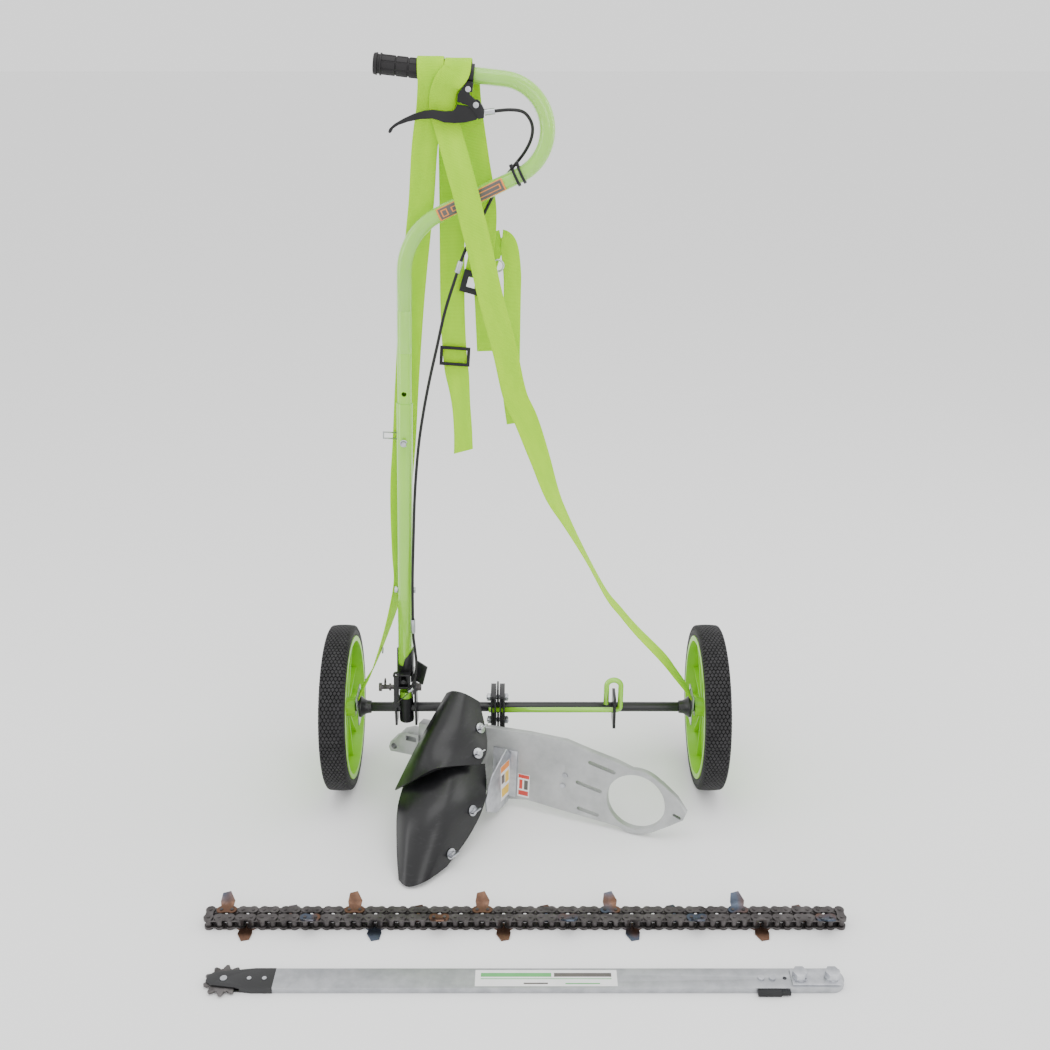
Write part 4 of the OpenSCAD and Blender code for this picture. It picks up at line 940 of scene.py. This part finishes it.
# brake cable
cableRoute = [
    (-57.7, -13, 1152), (-42.4, -13, 1154), (-20.4, -12, 1155.5), (-3, -9, 1152.5), (7, -4, 1142),
    (11, 2, 1128), (8, 8, 1111), (-2, 15, 1092), (-18, 19, 1072), (-32, 20, 1054), (-46, 20, 1034),
    (-62, 18, 1004), (-76, 2, 978), (-90, -15, 955), (-104, -18, 918), (-122, -18, 864), (-136, -17, 808),
    (-148, -14, 760), (-159, -11, 710), (-169, -9, 655), (-176, -8, 600), (-181, -9, 545), (-185, -10, 480),
    (-189, -12, 410), (-191, -13, 350), (-192, -13, 300), (-190, -15, 274), (-188, -20, 248), (-190, -28, 226),
    (-197, -34, 207)]


def makeCord(name, node, route, radius, finish, steps):
    spots = [Vector(smoothAt(route, k * (len(route) - 1) / steps)) / 1000 + Vector((0, axleY, 0))
             for k in range(steps + 1)]
    sides = 16
    verts, uvs, faces = [], [], []
    side = Vector((0.13, 0.95, 0.28))
    length = 0.0
    for k, here in enumerate(spots):
        way = (spots[min(k + 1, steps)] - spots[max(k - 1, 0)]).normalized()
        side = (side - way * side.dot(way)).normalized()
        other = way.cross(side)
        if k:
            length += (here - spots[k - 1]).length
        for j in range(sides):
            phi = 2 * math.pi * j / sides
            verts.append(here + radius * (math.cos(phi) * side + math.sin(phi) * other))
    for k in range(steps):
        for j in range(sides):
            a, b = k * sides + j, k * sides + (j + 1) % sides
            faces.append((a, b, b + sides, a + sides))
    faces.append(list(range(sides))[::-1])
    faces.append([steps * sides + j for j in range(sides)])
    piece = newPiece(name, verts, faces, finish, None, 50)
    finishPiece(piece, "mast", [node])
    return piece, spots, length


cable, cableSpots, cableLength = makeCord("brakeCable", "cable_housing", cableRoute, 0.0024,
                                          finishes["cable_jacket"], 260)
print("cable made, length", round(cableLength, 3))

# soil guard flaps
flaps = {
    "upper": [[(-134, -38, 197), (-122, -46, 206), (-104, -52, 205), (-80, -50, 188)],
              [(-160, -66, 160), (-144, -92, 178), (-112, -106, 172), (-68, -84, 148)],
              [(-190, -106, 118), (-170, -136, 146), (-126, -142, 148), (-66, -112, 130)],
              [(-218, -150, 76), (-186, -172, 110), (-142, -172, 136), (-76, -134, 117)]],
    "lower": [[(-200, -122, 86), (-174, -136, 103), (-124, -139, 120), (-70, -103, 96)],
              [(-210, -186, 70), (-184, -214, 82), (-130, -213, 90), (-68, -159, 66)],
              [(-208, -240, 36), (-187, -266, 42), (-144, -258, 49), (-92, -207, 32)],
              [(-202, -290, 4), (-186, -304, 3), (-162, -297, 7), (-129, -263, 9)]],
    "thickness": 3.0,
}


def sheetAt(grid, u, v):
    rows = [smoothAt(row, u * (len(row) - 1)) for row in grid]
    return Vector(smoothAt(rows, v * (len(rows) - 1)))


def sheetNormal(grid, u, v):
    e = 0.02
    a = sheetAt(grid, min(u + e, 1), v) - sheetAt(grid, max(u - e, 0), v)
    b = sheetAt(grid, u, min(v + e, 1)) - sheetAt(grid, u, max(v - e, 0))
    return b.cross(a).normalized()


def makeFlap(name, node, grid):
    across, down = 44, 52
    thick = flaps["thickness"]
    columns = across + 1
    grids = []
    for level, inset in ((thick, 0.0035), (thick - 0.7, 0.0), (0.7, 0.0), (0.0, 0.0035)):
        points = []
        for j in range(down + 1):
            for i in range(across + 1):
                u = inset + (1 - 2 * inset) * i / across
                v = inset + (1 - 2 * inset) * j / down
                spot = sheetAt(grid, u, v) + level * sheetNormal(grid, u, v)
                points.append(spot / 1000 + Vector((0, axleY, 0)))
        grids.append(points)
    rim = ([i for i in range(across)] + [j * columns + across for j in range(down)]
           + [down * columns + i for i in range(across, 0, -1)] + [j * columns for j in range(down, 0, -1)])
    verts = list(grids[0]) + list(grids[3])
    count = columns * (down + 1)
    faces = []
    for j in range(down):
        for i in range(across):
            a = j * columns + i
            faces.append((a, a + columns, a + columns + 1, a + 1))
            faces.append((count + a, count + a + 1, count + a + columns + 1, count + a + columns))
    upper = len(verts)
    verts += [grids[1][k] for k in rim]
    lower = len(verts)
    verts += [grids[2][k] for k in rim]
    n = len(rim)
    for k in range(n):
        m = (k + 1) % n
        faces.append((rim[k], rim[m], upper + m, upper + k))
        faces.append((upper + k, upper + m, lower + m, lower + k))
        faces.append((lower + k, lower + m, count + rim[m], count + rim[k]))
    piece = newPiece(name, verts, faces, finishes["flap_rubber"], None, 60)
    outward(piece.data)
    return finishPiece(piece, "adapter", [node])


makeFlap("flapUpper", "flap_upper", flaps["upper"])
makeFlap("flapLower", "flap_lower", flaps["lower"])
print("flaps made")

# the rest of the CAD nodes, with softened edges
edgeWidths = {
    "axle": 0.0005, "axle_flanges": 0.0006, "strap_anchors": 0.0003, "middle_bracket": 0.0008,
    "bracket_bolts": 0.0004, "rod_plate": 0.0008, "foot_ears": 0.0008, "foot_sleeve": 0.0008, "foot_stub": 0.0005,
    "pivot_pin": 0.0004, "axle_caps": 0.0003, "wheel_left": 0.0006, "wheel_right": 0.0006, "mast_socket": 0.0004,
    "foot_cover": 0.0008, "mast_tube": 0.0003, "mast_bolt": 0.0004, "height_pin": 0.0004, "handle_stem": 0.0003,
    "lever_perch": 0.0009, "perch_bolts": 0.0004, "cable_ties": 0.0004, "cable_fittings": 0.0004,
    "cable_wire": 0, "strap_buckles": 0.0008, "strap_rings": 0, "brake_lever": 0.0013, "latch": 0.0007,
    "pin_bail": 0, "lock_rod": 0, "arm": 0.0011, "arm_screws": 0.0004, "guard_shell": 0, "guard_plate": 0.0004,
    "wing_screws": 0.0004, "chain_inner_plates": 0, "chain_outer_plates": 0, "chain_cutters": 0.0003,
    "chain_rollers": 0, "chain_pins": 0, "guide_bar": 0.0007, "bar_nose": 0.0006, "nose_sprocket": 0.0004,
    "clamp_plate": 0.0004, "bar_fasteners": 0.0005, "tensioner": 0.0006,
}
for node, width in edgeWidths.items():
    rounded(node, width)
print("CAD nodes finished:", len(edgeWidths))


# blank labels
def patch(name, corner, along, up, out, tones, body, lift=0.0002):
    verts, faces, picks = [], [], []
    for u0, u1, v0, v1, tone, extra in tones:
        first = len(verts)
        for u, v in ((u0, v0), (u1, v0), (u1, v1), (u0, v1)):
            verts.append(corner + along * u + up * v + out * (lift + extra * 0.00004))
        faces.append((first, first + 1, first + 2, first + 3))
        picks.append(tone)
    mesh = bpy.data.meshes.new(name)
    mesh.from_pydata([tuple(v) for v in verts], [], faces)
    for tone in dict.fromkeys(picks):
        mesh.materials.append(labelTones[tone])
    order = list(dict.fromkeys(picks))
    for polygon, tone in zip(mesh.polygons, picks):
        polygon.material_index = order.index(tone)
    piece = shownPiece(name, mesh)
    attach(piece, body)
    return piece


barLow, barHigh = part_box("guide_bar")
barTop = barHigh.z
barMid = (barLow.y + barHigh.y) / 2
patch("barLabel", Vector((-0.072, barMid - 0.0155, barTop)), Vector((1, 0, 0)), Vector((0, 1, 0)),
      Vector((0, 0, 1)), [
    (0, 0.205, 0, 0.031, "white", 0), (0.008, 0.197, 0.0135, 0.0150, "green", 1),
    (0.008, 0.110, 0.018, 0.0255, "green", 1),
    (0.114, 0.197, 0.018, 0.0255, "grey", 1), (0.070, 0.105, 0.004, 0.0068, "grey", 1),
    (0.130, 0.180, 0.004, 0.0062, "green", 1)], "bar")

armFrame = (Matrix.Translation((0.196, axleY - 0.169, 0.007)) @ Matrix.Rotation(math.radians(-20), 4, "Z")
            @ Matrix.Rotation(math.radians(83), 4, "X"))
armFlat = armFrame.to_3x3()
patch("armLabel", armFrame @ Vector((-0.222, 0.018, 0.006)), armFlat @ Vector((1, 0, 0)),
      armFlat @ Vector((0, 1, 0)),
      armFlat @ Vector((0, 0, 1)), [
    (0, 0.022, 0, 0.044, "white", 0), (0.001, 0.021, 0.036, 0.043, "red", 1),
    (0.002, 0.020, 0.003, 0.012, "red", 1),
    (0.003, 0.009, 0.015, 0.033, "red", 1), (0.012, 0.019, 0.015, 0.033, "grey", 1)], "adapter")

plateFrame = (Matrix.Translation((-0.024, axleY - 0.084, 0)) @ Matrix.Rotation(math.radians(240), 4, "Z")
              @ Matrix.Rotation(math.radians(90), 4, "X"))
plateFlat = plateFrame.to_3x3()
for side, depth in ((1, 0.0025), (-1, 0.0)):
    patch("guardLabel" + ("Right" if side > 0 else "Left"), plateFrame @ Vector((0.006, 0.026, depth)),
          plateFlat @ Vector((1, 0, 0)), plateFlat @ Vector((0, 1, 0)), plateFlat @ Vector((0, 0, side)), [
        (0, 0.030, 0, 0.072, "white", 0), (0.001, 0.029, 0.058, 0.071, "orange", 1),
        (0.003, 0.015, 0.030, 0.052, "yellow", 1), (0.017, 0.027, 0.034, 0.052, "grey", 1),
        (0.003, 0.027, 0.006, 0.024, "yellow", 1)], "adapter")


# a blank strip wrapped on the front of the handle's diagonal
def wrappedLabel(name, startShare, endShare, tone, half, lift):
    a = Vector(handle["elbow"])
    way = (Vector(handle["loopCorner"]) - a).normalized()
    verts, faces = [], []
    steps = 12
    radius = handle["outer"] + 0.0002 + handle["sleeveWall"] + lift
    cross = Vector((way.x, 0, way.y)).cross(Vector((0, 1, 0)))
    for s in (startShare, endShare):
        for k in range(steps + 1):
            phi = -half + 2 * half * k / steps
            at = a + way * s
            verts.append(mastFrame @ (Vector((at.x, 0, at.y)) + radius * (-math.cos(phi) * Vector((0, 1, 0))
                                                                        + math.sin(phi) * cross)))
    for k in range(steps):
        faces.append((k, k + 1, steps + 2 + k, steps + 1 + k))
    piece = newPiece(name, verts, faces, labelTones[tone])
    shape = bmesh.new()
    shape.from_mesh(piece.data)
    shape.faces.ensure_lookup_table()
    if shape.faces[0].normal.y > 0:
        bmesh.ops.reverse_faces(shape, faces=shape.faces)
    shape.to_mesh(piece.data)
    shape.free()
    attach(piece, "mast")


wrappedLabel("tubeLabel", 0.058, 0.166, "orange", 0.80, 0.0002)
wrappedLabel("tubeLabelField", 0.0605, 0.1635, "grey", 0.66, 0.00028)
for number, (a, b) in enumerate(((0.064, 0.074), (0.080, 0.118), (0.124, 0.160))):
    wrappedLabel("tubeLabelBlock%d" % number, a, b, "orange", 0.30 if number else 0.42, 0.00036)
    wrappedLabel("tubeLabelBlank%d" % number, a + 0.0018, b - 0.0018, "grey", 0.20 if number else 0.30, 0.00044)
print("labels made")

# floor
floorMesh = bpy.data.meshes.new("floor")
floorCorners = [(-14, -9, -0.0002), (14, -9, -0.0002), (14, 20, -0.0002), (-14, 20, -0.0002)]
floorMesh.from_pydata(floorCorners, [], [(0, 1, 2, 3)])
floorFinish = Finish("paleFloor", specular=0.1)
floorMesh.materials.append(floorFinish.paint(color=studio["floorTone"], roughness=0.9))
floor = bpy.data.objects.new("floor", floorMesh)
bpy.context.scene.collection.objects.link(floor)

print("scene ready")
